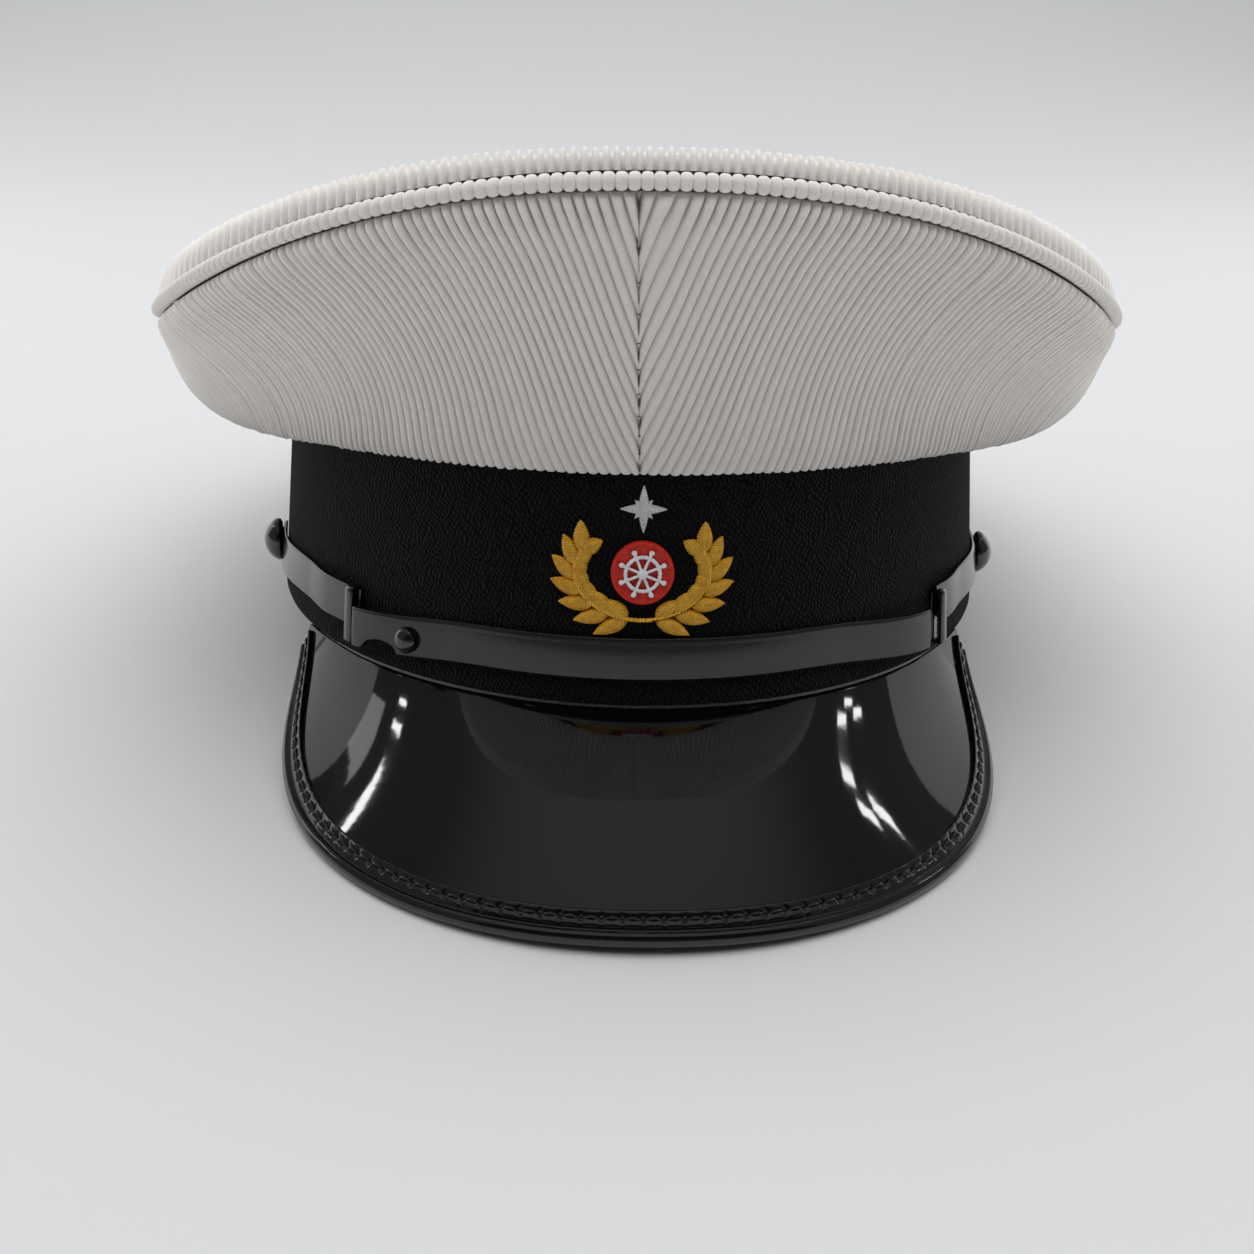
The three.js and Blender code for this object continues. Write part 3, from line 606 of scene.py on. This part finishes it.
BINDING_FLAT = 3.6
BINDING_FLAT_SHARE = 0.75
BINDING_LEAF = 0.7
BEAD_RADIUS = 1.55
BEAD_OUT = 0.6
BEAD_SINK = 0.4
BINDING_END_SHARE = 0.965
STITCH_PITCH = 3.7
STITCH_RADIUS = 0.3
STITCH_PULL_SHARE = 0.09
STITCH_STEPS = 9
STITCH_ARCH = 0.55
STITCH_LEAN = 0.25

strap_leather = new_finish(
    "strap_leather",
    (0.003, 0.003, 0.0035),
    0.1,
    {"Coat Weight": 0.5, "Coat Roughness": 0.05},
)
emboss(strap_leather, noise(strap_leather, 700.0), 0.00002)

fine_angles = peak_angles(1201, BINDING_END_SHARE)
edge_line = on_peak(fine_angles, peak_length(fine_angles))
edge_lengths = np.append(0, np.cumsum(np.linalg.norm(np.diff(edge_line, axis=0), axis=1)))
stitches = int(edge_lengths[-1] / STITCH_PITCH)
along_stitch = np.array([0, 0.05, 0.12, 0.22, 0.35, 0.5, 0.65, 0.78, 0.88, 0.95])
binding_places = (np.arange(stitches)[:, None] + along_stitch).ravel() / stitches
binding_angles = np.interp(binding_places * edge_lengths[-1], edge_lengths, fine_angles)
from_hole = np.minimum(along_stitch, 1 - along_stitch)
pulled = np.tile(np.exp(-((from_hole / STITCH_PULL_SHARE) ** 2)), stitches)
binding_length = peak_length(binding_angles)
binding_flat = np.minimum(BINDING_FLAT, BINDING_FLAT_SHARE * binding_length)
upper = SEAT_GAP + BINDING_LEAF
lower = -PEAK_THICKNESS - SEAT_GAP - BINDING_LEAF
# the strip from its inner edge out to the bead: where on the flat, how high, and how
# much of the stitches' pull each row takes
STRIP_ROWS = {
    "run": (1.0, 0.99, 0.94, 0.86, 0.72, 0.62, 0.55, 0.45, 0.36, 0.24, 0.12, 0.03, -0.04),
    "rise": (0.0, 0.7, 0.97, 1.0, 0.92, 0.84, 0.74, 0.72, 0.8, 0.85, 0.75, 0.4, 0.42),
    "pull": (0.0, 0.0, 0.03, 0.06, 0.12, 0.3, 0.5, 0.5, 0.3, 0.1, 0.05, 0.0, 0.0),
}
binding_rows = []
for run, rise, pull in zip(*STRIP_ROWS.values()):
    sink = upper * rise - pull * pulled
    binding_rows.append(on_peak(binding_angles, binding_length - run * binding_flat, sink))
for turn in np.linspace(1.9, -1.5, 19):
    run = binding_length + SEAT_GAP + BEAD_RADIUS * (BEAD_OUT + math.cos(turn))
    binding_rows.append(on_peak(binding_angles, run, BEAD_RADIUS * math.sin(turn) - BEAD_SINK))
for run, rise in ((0.1, lower), (1.0, lower), (1.0, -PEAK_THICKNESS)):
    binding_rows.append(on_peak(binding_angles, binding_length - run * binding_flat, rise))
binding = skin("peak_binding_leather", [np.array(binding_rows)[::-1]], strap_leather, False, True)
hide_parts("peak_binding")

stitch_grids = []
steps = np.linspace(0.1, 0.9, STITCH_STEPS)
arch = np.sin(np.linspace(0, math.pi, STITCH_STEPS))
for number in range(stitches):
    at = np.interp((number + steps) / stitches * edge_lengths[-1], edge_lengths, fine_angles)
    length = peak_length(at)
    flat = np.minimum(BINDING_FLAT, BINDING_FLAT_SHARE * length)
    lean = luck.uniform(-STITCH_LEAN, STITCH_LEAN)
    run = length - flat * (0.5 + 0.06 * arch) + lean * (steps - 0.5)
    line = on_peak(at, run, upper * 0.5 + STITCH_ARCH * arch)
    stitch_grids.append(tube(line, STITCH_RADIUS * (0.3 + 0.7 * arch), 8))
thread = new_finish("binding_thread", (0.006, 0.006, 0.007), 0.2, {"Coat Weight": 0.6})
emboss(thread, noise(thread, 2500.0), 0.00005)
stitching = skin("peak_binding_stitches", stitch_grids, thread, False, True)

# ---------------------------------------------------------------- chin strap
# A narrow patent strap in three lengths: one across the front and one down each side
# to its button. The front one lies over the others, and its left end is folded round.

STRAP_WIDTH = 8.4
FRONT_STRAP_END = 0.745
FOLDED_END = 0.727
FOLD_RADIUS = 0.55
NOTCH_HEIGHT = 2.6
NOTCH_ANGLE = -0.65
NOTCH_HALF_ANGLE = 0.05
FRONT_STRAP_HEIGHT = 10.0
FRONT_STRAP_END_HEIGHT = 7.9
FRONT_STRAP_END_LIFT = 3.0
BACK_STRAP_HEIGHT = 11.4
BACK_STRAP_END_HEIGHT = 9.0
BACK_STRAP_LIFT = 1.4
BACK_STRAP_END = 1.43
BACK_STRAP_STARTS = {"left": 0.748, "right": 0.803}
CUT_HEIGHT = 2.2
CUT_ANGLE = 0.03
BUTTON_ANGLE = 1.36
SIDES = {"left": -1, "right": 1}
# the strap's section from its lower back edge round its face: up in half widths, and
# out in millimetres
STRAP_SECTION = {
    "up": (-1, -1, -0.98, -0.9, -0.75, -0.6, 0, 0.6, 0.75, 0.9, 0.98, 1, 1),
    "out": (0.1, 0.7, 0.9, 1.03, 1.0, 1.06, 1.1, 1.06, 1.0, 1.03, 0.9, 0.7, 0.1),
}

strap_patent = new_finish(
    "strap_patent",
    (0.009, 0.009, 0.01),
    0.14,
    {"Coat Weight": 0.2, "Coat Roughness": 0.1},
)
strap_grain = calculate(strap_patent, "ADD", noise(strap_patent, 900.0), noise(strap_patent, 120.0))
emboss(strap_patent, strap_grain, 0.000012)


def front_strap_line(angle):
    drop = smooth_step(np.abs(angle), 0.35, 0.78)
    lift = smooth_step(np.abs(angle), 0.45, 0.74)
    height = FRONT_STRAP_HEIGHT + (FRONT_STRAP_END_HEIGHT - FRONT_STRAP_HEIGHT) * drop
    return height, SEAT_GAP + (FRONT_STRAP_END_LIFT - SEAT_GAP) * lift


def back_strap_line(angle):
    drop = smooth_step(np.abs(angle), 1, BUTTON_ANGLE)
    settle = smooth_step(np.abs(angle), 0.86, 1)
    height = BACK_STRAP_HEIGHT + (BACK_STRAP_END_HEIGHT - BACK_STRAP_HEIGHT) * drop
    return height, BACK_STRAP_LIFT + (SEAT_GAP - BACK_STRAP_LIFT) * settle


def strap_grid(angles, line, notch):
    """A length of strap along a line, with a notch of that height in its lower edge."""
    height, stand_off = line(angles)
    half = STRAP_WIDTH / 2
    rows = []
    for up, out in zip(*STRAP_SECTION.values()):
        lifted = notch * (1 - up) / 2
        rows.append(on_band(angles, height + up * half + lifted, stand_off + out))
    return np.array(rows)


front_angles = np.linspace(-FOLDED_END, FRONT_STRAP_END, 161)
from_notch = (front_angles - NOTCH_ANGLE) / NOTCH_HALF_ANGLE
notch = NOTCH_HEIGHT * np.sqrt(np.clip(1 - from_notch**2, 0, 1))
front_grid = strap_grid(front_angles, front_strap_line, notch)
end_height, end_off = front_strap_line(-FOLDED_END)
fold_rows = []
for up, out in zip(*STRAP_SECTION.values()):
    bend = np.linspace(1.5, 0.08, 10)
    radius = FOLD_RADIUS + out
    fold_angles = -FOLDED_END - radius * np.sin(bend) / BAND_MEAN_RADIUS
    offsets = end_off - FOLD_RADIUS + radius * np.cos(bend)
    fold_rows.append(on_band(fold_angles, end_height + up * STRAP_WIDTH / 2, offsets))
front_grid = np.concatenate([np.array(fold_rows), front_grid], axis=1)
front_strap = skin("strap_front_leather", [front_grid], strap_patent, False, True)
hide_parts("strap_front")
for name, side in SIDES.items():
    start = BACK_STRAP_STARTS[name]
    back_angles = np.sort(side * np.linspace(start, BACK_STRAP_END, 81))
    cut = CUT_HEIGHT * np.clip(1 - (np.abs(back_angles) - start) / CUT_ANGLE, 0, 1)
    grid = strap_grid(back_angles, back_strap_line, cut)
    strap = skin("strap_back_leather_" + name, [grid], strap_patent, False, True)
    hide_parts("strap_back_" + name)

# ---------------------------------------------------------------- strap keepers
# Each keeper is a narrow lacquered loop that stands upright round the back strap and
# slides on it. Its corners are bent, not sharp.

KEEPER_HALF_ANGLE = 0.0128
KEEPER_HEIGHT = 12.2
KEEPER_DEPTH = 3.3
KEEPER_BAR = 0.8
KEEPER_BEND = 1.0
# where each keeper stands, and how far it has slid down the strap's edge
KEEPERS = {"left": {"angle": -0.757, "down": 0.9}, "right": {"angle": 0.82, "down": 1.9}}

enamel = new_finish(
    "black_enamel",
    (0.006, 0.006, 0.007),
    0.12,
    {"Coat Weight": 0.7, "Coat Roughness": 0.04},
)
emboss(enamel, noise(enamel, 400.0), 0.00002)


def rounded_loop(half_high, half_deep, bend, steps=7):
    """A closed loop of (height, depth) places round a rectangle with bent corners."""
    places = []
    for quarter in range(4):
        middle_high = (half_high - bend) * (1 if quarter in (0, 1) else -1)
        middle_deep = (half_deep - bend) * (1 if quarter in (0, 3) else -1)
        for turn in np.linspace(0, math.pi / 2, steps) + quarter * math.pi / 2:
            high = middle_high + bend * math.sin(turn)
            places.append((high, middle_deep + bend * math.cos(turn)))
    return np.array(places)


for name, keeper in KEEPERS.items():
    strap_top = back_strap_line(keeper["angle"])[0] + STRAP_WIDTH / 2
    middle = strap_top + SEAT_GAP + KEEPER_BAR - KEEPER_HEIGHT / 2 - keeper["down"]
    rows = []
    for across, shrink in ((-1, 0.2), (-0.8, 0.0), (0.8, 0.0), (1, 0.2), (1, 0.8), (-1, 0.8)):
        bend = max(KEEPER_BEND - shrink, 0.2)
        loop = rounded_loop(KEEPER_HEIGHT / 2 - shrink, KEEPER_DEPTH / 2 - shrink, bend)
        angles = keeper["angle"] + across * KEEPER_HALF_ANGLE + 0 * loop[:, 0]
        rows.append(on_band(angles, middle + loop[:, 0], SEAT_GAP + KEEPER_DEPTH / 2 + loop[:, 1]))
    piece = skin("keeper_lacquered_" + name, [np.array(rows)], enamel, True, True)
    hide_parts("keeper_" + name)

# ---------------------------------------------------------------- buttons and stud
# Domed lacquered buttons hold the strap's ends, and a small stud fastens the front
# length left of the middle. All three are pressed metal.

BUTTON_HEIGHTS = {"left": 10.6, "right": 9.0}
BUTTON_STAND_OFF = 1.42
BUTTON_RADIUS = 5.2
BUTTON_RISE = 4.3
STUD_ANGLE = -0.572
STUD_STAND_OFF = 1.4
STUD_RADIUS = 2.7
STUD_RISE = 1.9
STUD_BELOW = 0.6
# a dome's face from its rim to its top, across in radii and up in heights
DOME_PROFILE = {
    "across": (0.7, 0.8, 0.88, 0.97, 1.0, 0.985, 0.94, 0.86, 0.75, 0.62, 0.47, 0.3, 0.15, 0.0),
    "up": (-0.06, -0.06, 0, 0.06, 0.16, 0.27, 0.38, 0.52, 0.66, 0.78, 0.88, 0.955, 0.99, 1.0),
}


def dome(name, node, angle, height, stand_off, radius, rise):
    centre = on_band(angle, height, stand_off)
    out = band_outwards(angle)
    right = np.cross(UP, out)
    turns = np.linspace(0, 2 * math.pi, 64, endpoint=False)[:, None]
    rows = []
    for across, up in zip(*DOME_PROFILE.values()):
        circle = np.cos(turns) * right + np.sin(turns) * UP
        rows.append(centre + radius * across * circle + rise * up * out)
    piece = skin(name, [np.array(rows)], enamel, True)
    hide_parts(node)


for name, side in SIDES.items():
    dome(
        "button_dome_" + name,
        "button_" + name,
        side * BUTTON_ANGLE,
        BUTTON_HEIGHTS[name],
        BUTTON_STAND_OFF,
        BUTTON_RADIUS,
        BUTTON_RISE,
    )
stud_height, stud_off = front_strap_line(STUD_ANGLE)
dome(
    "strap_stud_dome",
    "strap_stud",
    STUD_ANGLE,
    stud_height - STUD_BELOW,
    stud_off + STUD_STAND_OFF,
    STUD_RADIUS,
    STUD_RISE,
)

# ---------------------------------------------------------------- badge wreath
# Two sprays of padded leaves in satin-stitched golden thread, which rise from crossed
# stems at the foot of the badge and open towards its top.

BADGE_ACROSS = -1.4
BADGE_HEIGHT = 27.0
BADGE_LIFT = 0.45
WREATH_HALF_WIDTH = 13.2
WREATH_HALF_HEIGHT = 9.2
LEAF_PAIRS = 7
LEAF_LENGTH = 7.4
LEAF_WIDTH = 3.2
LEAF_PADDING = 1.05
FIRST_LEAF_TURN = -1.36
LAST_LEAF_TURN = 0.42
# the two leaves of a pair: how far each turns from the stem, and its share of the length
LEAF_PAIR = {"splay": (-0.62, 0.5), "length": (1.0, 0.78)}
TIP_LEAF_SHRINK = 0.18
STEM_TURNS = (-1.72, 0.5)
STEM_STEPS = 120
STEM_RADIUS = 0.4
STEM_LIFT = 0.55
THREAD_PITCH = 0.46
THREAD_RELIEF = 0.11
THREAD_SLANT = 0.55


def on_badge(across, height, relief):
    """A place on the badge, which is drawn flat and wrapped on to the band."""
    front_radius = BAND_HALF_WIDTH**2 / BAND_HALF_LENGTH
    across = np.asarray(across) + BADGE_ACROSS
    angle = np.arcsin(front_radius * np.sin(across / front_radius) / BAND_HALF_WIDTH)
    return on_band(angle, height, BADGE_LIFT + np.asarray(relief))


def padded_leaf(base, heading, length, width, relief, fullness=0.75):
    """A pointed leaf of satin stitches, whose threads slant across it."""
    along = np.linspace(0, 1, max(24, int(length / THREAD_PITCH * 6)))[:, None]
    across = np.linspace(-1, 1, 11)[None]
    half = width / 2 * np.sin(math.pi * np.clip(along, 0.01, 0.99) ** fullness) ** 0.75
    laid = along * length + THREAD_SLANT * half * np.abs(across)
    threads = np.sin(2 * math.pi * laid / THREAD_PITCH)
    dome_share = np.sqrt(np.clip(1 - across**2, 0, 1))
    vein = 1 - 0.22 * np.exp(-((across / 0.12) ** 2))
    padding = relief * np.clip(half / (width / 2), 0.25, 1) * vein
    rise = (padding + THREAD_RELIEF * threads) * dome_share
    ragged = half * (1 + 0.05 * threads * np.abs(across))
    run = along * length
    x = base[0] + run * math.cos(heading) + ragged * across * math.sin(heading)
    z = base[1] + run * math.sin(heading) - ragged * across * math.cos(heading)
    return on_badge(x, z, rise - 0.25 * (1 - dome_share)), np.stack([laid, 0 * laid], axis=-1)


def satin(name, dark, bright, roughness):
    """Satin-stitched thread, with a dark line between each thread and the next."""
    finish = new_finish(name, bright, roughness, {"Specular IOR Level": 0.6})
    threads = thread_waves(finish, THREAD_PITCH, 0.0, 1.5)
    cloudy = calculate(finish, "MULTIPLY", noise(finish, 900.0, 3.0), 1.5)
    shade = calculate(finish, "MULTIPLY", calculate(finish, "POWER", threads, 0.45), cloudy)
    blend_colour(finish, shade, dark, bright)
    emboss(finish, threads, 0.00012)
    return finish


gold_thread = satin("gold_thread", (0.6, 0.22, 0.005), (1.0, 0.62, 0.06), 0.34)

leaf_grids, leaf_lengths = [], []
for side in (-1, 1):
    for turn_share in np.linspace(0, 1, LEAF_PAIRS):
        turn = FIRST_LEAF_TURN + (LAST_LEAF_TURN - FIRST_LEAF_TURN) * turn_share
        wide, high = WREATH_HALF_WIDTH * math.cos(turn), WREATH_HALF_HEIGHT * math.sin(turn)
        base = (side * wide, BADGE_HEIGHT + high)
        heading = math.atan2(
            WREATH_HALF_HEIGHT * math.cos(turn),
            -WREATH_HALF_WIDTH * math.sin(turn),
        )
        for splay, length_share in zip(*LEAF_PAIR.values()):
            length = LEAF_LENGTH * length_share * (1 - TIP_LEAF_SHRINK * turn_share)
            direction = heading + splay
            facing = direction if side > 0 else math.pi - direction
            grid, lengths = padded_leaf(base, facing, length, LEAF_WIDTH, LEAF_PADDING)
            leaf_grids.append(grid)
            leaf_lengths.append(lengths)
    stem_turns = np.linspace(*STEM_TURNS, STEM_STEPS)
    stem_line = on_badge(
        side * WREATH_HALF_WIDTH * np.cos(stem_turns),
        BADGE_HEIGHT + WREATH_HALF_HEIGHT * np.sin(stem_turns),
        STEM_LIFT,
    )
    stem_grid = tube(stem_line, STEM_RADIUS + 0.07 * np.sin(np.arange(STEM_STEPS) * 2.1), 8)
    leaf_grids.append(stem_grid)
    leaf_lengths.append(np.abs(stem_grid[..., [0, 1]]))
wreath = skin("badge_wreath_thread", leaf_grids, gold_thread, lengths=leaf_lengths)
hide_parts("badge_wreath")

# ---------------------------------------------------------------- badge roundel
# A disc of red satin stitches with a raised ring of the same thread round its edge.

ROUNDEL_RADIUS = 6.2
ROUNDEL_SUNK = 0.2
RIM_THREADS = 60
# the rings of the disc from its rim inwards, in radii
ROUNDEL_RINGS = (1.0, 1.0, 0.98, 0.95, 0.91, 0.87, 0.83, 0.8, 0.76, 0.7, 0.5, 0.25, 0.02)

red_thread = new_finish("red_thread", (0.6, 0.015, 0.006), 0.5)
blend_colour(red_thread, noise(red_thread, 1200.0, 3.0), (0.3, 0.006, 0.003), (0.85, 0.03, 0.012))

around = np.linspace(0, 2 * math.pi, 240, endpoint=False)
roundel_rows = []
for radius in ROUNDEL_RINGS:
    ring = 0.85 + 0.45 * math.exp(-(((radius - 0.9) / 0.06) ** 2)) if radius < 1 else 0.5
    threads = 0.05 * np.sin(RIM_THREADS * around + 9 * radius)
    relief = (ring - ROUNDEL_SUNK + threads) if roundel_rows else -ROUNDEL_SUNK + 0 * around
    wide, high = ROUNDEL_RADIUS * radius * np.cos(around), ROUNDEL_RADIUS * radius * np.sin(around)
    roundel_rows.append(on_badge(wide, BADGE_HEIGHT + high, relief))
roundel = skin("badge_roundel_thread", [np.array(roundel_rows)], red_thread, True)
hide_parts("badge_roundel")

# ---------------------------------------------------------------- badge wheel and star
# White cord laid over the roundel as an eight-spoked wheel, with a knot at the end of
# each spoke, and an eight-pointed star of white satin stitches above it.

WHEEL_RADIUS = 3.3
SPOKE_REACH = 4.9
SPOKES = 8
CORD_RADIUS = 0.36
SPOKE_RADIUS = 0.28
HUB_RADIUS = 1.0
WHEEL_LIFT = 1.2
STAR_HEIGHT = 39.2
# the star's points by turns, a long one and then a short one
STAR_POINTS = ({"reach": 4.6, "width": 1.9}, {"reach": 2.5, "width": 1.5})
STAR_PADDING = 0.8
STAR_FULLNESS = 0.45

white_thread = new_finish("white_thread", (0.9, 0.9, 0.92), 0.5)
blend_colour(white_thread, noise(white_thread, 1500.0, 3.0), (0.6, 0.6, 0.64), (1.0, 1.0, 1.0))
star_thread = satin("star_thread", (0.45, 0.45, 0.48), (1.0, 1.0, 1.0), 0.45)

ring_turns = np.linspace(0, 2 * math.pi, 121)
twist = 1 + 0.12 * np.sin(28 * ring_turns)
ring_line = on_badge(
    WHEEL_RADIUS * np.cos(ring_turns),
    BADGE_HEIGHT + WHEEL_RADIUS * np.sin(ring_turns),
    WHEEL_LIFT,
)
wheel_grids = [tube(ring_line, CORD_RADIUS * twist)]
for spoke in range(SPOKES):
    heading = (spoke + 0.5) * 2 * math.pi / SPOKES
    runs = np.linspace(0.2, SPOKE_REACH, 40)
    line = on_badge(runs * math.cos(heading), BADGE_HEIGHT + runs * math.sin(heading), WHEEL_LIFT)
    knot = 1 + 0.9 * np.exp(-(((runs - SPOKE_REACH + 0.5) / 0.4) ** 2)) + 0.1 * np.sin(runs * 14)
    knot[-1] = 0.4
    wheel_grids.append(tube(line, SPOKE_RADIUS * knot))
hub_runs = np.linspace(-1, 1, 15)
hub_line = on_badge(0.0, BADGE_HEIGHT, WHEEL_LIFT) + band_outwards(-0.016) * hub_runs[:, None]
wheel_grids.append(tube(hub_line, HUB_RADIUS * np.sqrt(1 - hub_runs**2) + 0.01, 24))
wheel = skin("badge_wheel_cord", wheel_grids, white_thread, False, True)
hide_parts("badge_wheel")
star_grids, star_lengths = [], []
for number, point in enumerate(STAR_POINTS * 4):
    grid, lengths = padded_leaf(
        (0.0, STAR_HEIGHT),
        number * math.pi / 4,
        point["reach"],
        point["width"],
        STAR_PADDING,
        STAR_FULLNESS,
    )
    star_grids.append(grid)
    star_lengths.append(lengths)
star = skin("badge_star_thread", star_grids, star_thread, lengths=star_lengths)
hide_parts("badge_star")

# ---------------------------------------------------------------- studio
# A pale seamless paper sheet that rises behind the cap, and a dark curtain that hides
# the room in front of it.

FLOOR_REACH = 3500
SWEEP_START = 750
SWEEP_RADIUS = 1600
FLOOR_FRONT = -2500
SWEEP_TOP = 3000
CURTAIN_PLACE = -900
CURTAIN_HEIGHTS = (1500, 260)
CURTAIN_REACH = 900


def flat_sheet(name, profile, reach, finish):
    """A sheet along x whose section is a list of (y, z) places, in millimetres."""
    corners = [(x * 0.001, y * 0.001, z * 0.001) for y, z in profile for x in (-reach, reach)]
    quads = [(2 * k, 2 * k + 1, 2 * k + 3, 2 * k + 2) for k in range(len(profile) - 1)]
    mesh = bpy.data.meshes.new(name)
    mesh.from_pydata(corners, [], quads)
    mesh.shade_smooth()
    mesh.materials.append(finish)
    sheet = bpy.data.objects.new(name, mesh)
    bpy.context.collection.objects.link(sheet)
    return sheet


paper = new_finish("studio_paper", (0.61, 0.612, 0.62), 0.75, {"Specular IOR Level": 0.2})
sweep = [(FLOOR_FRONT, 0), (SWEEP_START, 0)]
for bend in np.linspace(0.03, 1.55, 40):
    back = SWEEP_START + SWEEP_RADIUS * math.sin(bend)
    sweep.append((back, SWEEP_RADIUS * (1 - math.cos(bend))))
sweep.append((SWEEP_START + SWEEP_RADIUS, SWEEP_TOP))
flat_sheet("studio_paper", sweep, FLOOR_REACH, paper)
felt = new_finish("dark_curtain", (0.012, 0.014, 0.015), 0.9)
curtain = [(CURTAIN_PLACE, height) for height in CURTAIN_HEIGHTS]
flat_sheet("dark_curtain", curtain, CURTAIN_REACH, felt)

# ---------------------------------------------------------------- light
# A large box overhead and a few weak ones round the cap light it and leave no glint. The
# glows and the short tubes at the sides make the streaks on the patent leather. Places
# and sizes are in metres, and powers in watts.

ROOM_LIGHT_LOW = 0.17
ROOM_LIGHT_HIGH = 0.5
ROOM_LIGHT_FROM = 0.74  # the height on the sky, of 1, where it starts to grow brighter
ROOM_LIGHT_TO = 0.99
ROOM_COLOUR = (0.91, 0.96, 1.0)
CAP_MIDDLE = (0, -0.02, 0.08)
# each box's place, the point that it faces, its size and its power
FILL_BOXES = {
    "ceiling_box": ((0.0, -0.4, 1.8), (0, -0.1, 0), (3.2, 2.6), 50),
    "behind_box": ((0.0, 0.6, 1.2), (0, 0.15, 0), (1.8, 0.4), 5.5),
    "left_side_box": ((-0.9, 0.1, 0.28), (-0.1, -0.02, 0.02), (0.6, 0.3), 1.6),
    "right_side_box": ((0.9, 0.1, 0.28), (0.1, -0.02, 0.02), (0.6, 0.3), 1.6),
    "floor_bounce": ((0.0, -0.37, 0.003), (0.0, -0.36, 2.0), (0.9, 0.28), 0.4),
}
GLOWS = {
    "left_glow": ((-0.99, 0.42, 0.6), CAP_MIDDLE, (0.16, 0.1), 0.1),
    "left_far_glow": ((-0.98, 0.62, 0.3), CAP_MIDDLE, (0.75, 0.55), 1.0),
    "right_glow": ((1.0, 0.62, 0.3), CAP_MIDDLE, (0.75, 0.6), 1.0),
}
TUBE_SIZE = (0.02, 0.05)
TUBE_POWER = 0.05
TUBE_PLACES = {
    "left": ((-0.95, 0.28, 0.73), (-0.92, 0.34, 0.71), (-0.89, 0.39, 0.71)),
    "right": ((0.85, 0.27, 0.82), (0.88, 0.24, 0.79), (0.91, 0.28, 0.75)),
}

world = bpy.data.worlds.new("studio")
world.use_nodes = True
room = world.node_tree
sky_place = room.nodes.new("ShaderNodeTexCoord")
sky_height = room.nodes.new("ShaderNodeSeparateXYZ")
sky_shade = room.nodes.new("ShaderNodeMapRange")
sky_shade.interpolation_type = "SMOOTHSTEP"
sky_range = (ROOM_LIGHT_FROM, ROOM_LIGHT_TO, ROOM_LIGHT_LOW, ROOM_LIGHT_HIGH)
for socket, value in enumerate(sky_range, start=1):
    sky_shade.inputs[socket].default_value = value
room.links.new(sky_place.outputs["Generated"], sky_height.inputs[0])
room.links.new(sky_height.outputs["Z"], sky_shade.inputs[0])
room.links.new(sky_shade.outputs[0], room.nodes["Background"].inputs["Strength"])
room.nodes["Background"].inputs["Color"].default_value = (*ROOM_COLOUR, 1)
bpy.context.scene.world = world


def stood_at(place, right, above, facing):
    """The matrix of a lamp or camera that stands at a place and looks away from facing."""
    rows = [[right[k], above[k], facing[k], place[k]] for k in range(3)]
    return Matrix(rows + [[0, 0, 0, 1]])


def soft_box(name, place, aim, size, power):
    light = bpy.data.lights.new(name, "AREA")
    light.shape = "RECTANGLE"
    light.size, light.size_y = size
    light.energy = power
    lamp = bpy.data.objects.new(name, light)
    bpy.context.collection.objects.link(lamp)
    facing = unit(np.array(place) - np.array(aim))
    right = unit(np.cross(UP, facing))
    above = np.cross(facing, right)
    lamp.matrix_world = stood_at(place, right, above, facing)
    return lamp


for name, settings in FILL_BOXES.items():
    soft_box(name, *settings).visible_glossy = False
for name, settings in GLOWS.items():
    soft_box(name, *settings)
for name, places in TUBE_PLACES.items():
    for number, place in enumerate(places, start=1):
        soft_box(f"{name}_tube_{number}", place, CAP_MIDDLE, TUBE_SIZE, TUBE_POWER)

# ---------------------------------------------------------------- camera
# A normal lens close in front of the cap, looking down a little, held slightly askew.

CAMERA_DISTANCE = 0.4
CAMERA_RISE = 0.271
CAMERA_YAW = 0.041
CAMERA_ROLL = 0.020
CAMERA_LENS = 43.45
CAMERA_SHIFT = -0.055

camera_data = bpy.data.cameras.new("camera")
camera_data.sensor_width = 36
camera_data.lens = CAMERA_LENS
camera_data.shift_y = CAMERA_SHIFT
camera_data.clip_end = 50
camera = bpy.data.objects.new("camera", camera_data)
bpy.context.collection.objects.link(camera)
level = math.cos(CAMERA_RISE)
towards = [-level * math.sin(CAMERA_YAW), -level * math.cos(CAMERA_YAW), math.sin(CAMERA_RISE)]
backwards = np.array(towards) @ cap_frame
right = unit(np.cross(cap_up, backwards))
above = np.cross(backwards, right)
rolled_right = right * math.cos(CAMERA_ROLL) + above * math.sin(CAMERA_ROLL)
rolled_above = above * math.cos(CAMERA_ROLL) - right * math.sin(CAMERA_ROLL)
stand = cap_place + CAMERA_DISTANCE * backwards
camera.matrix_world = stood_at(stand, rolled_right, rolled_above, backwards)
bpy.context.scene.camera = camera
bpy.context.scene.view_settings.view_transform = "Standard"
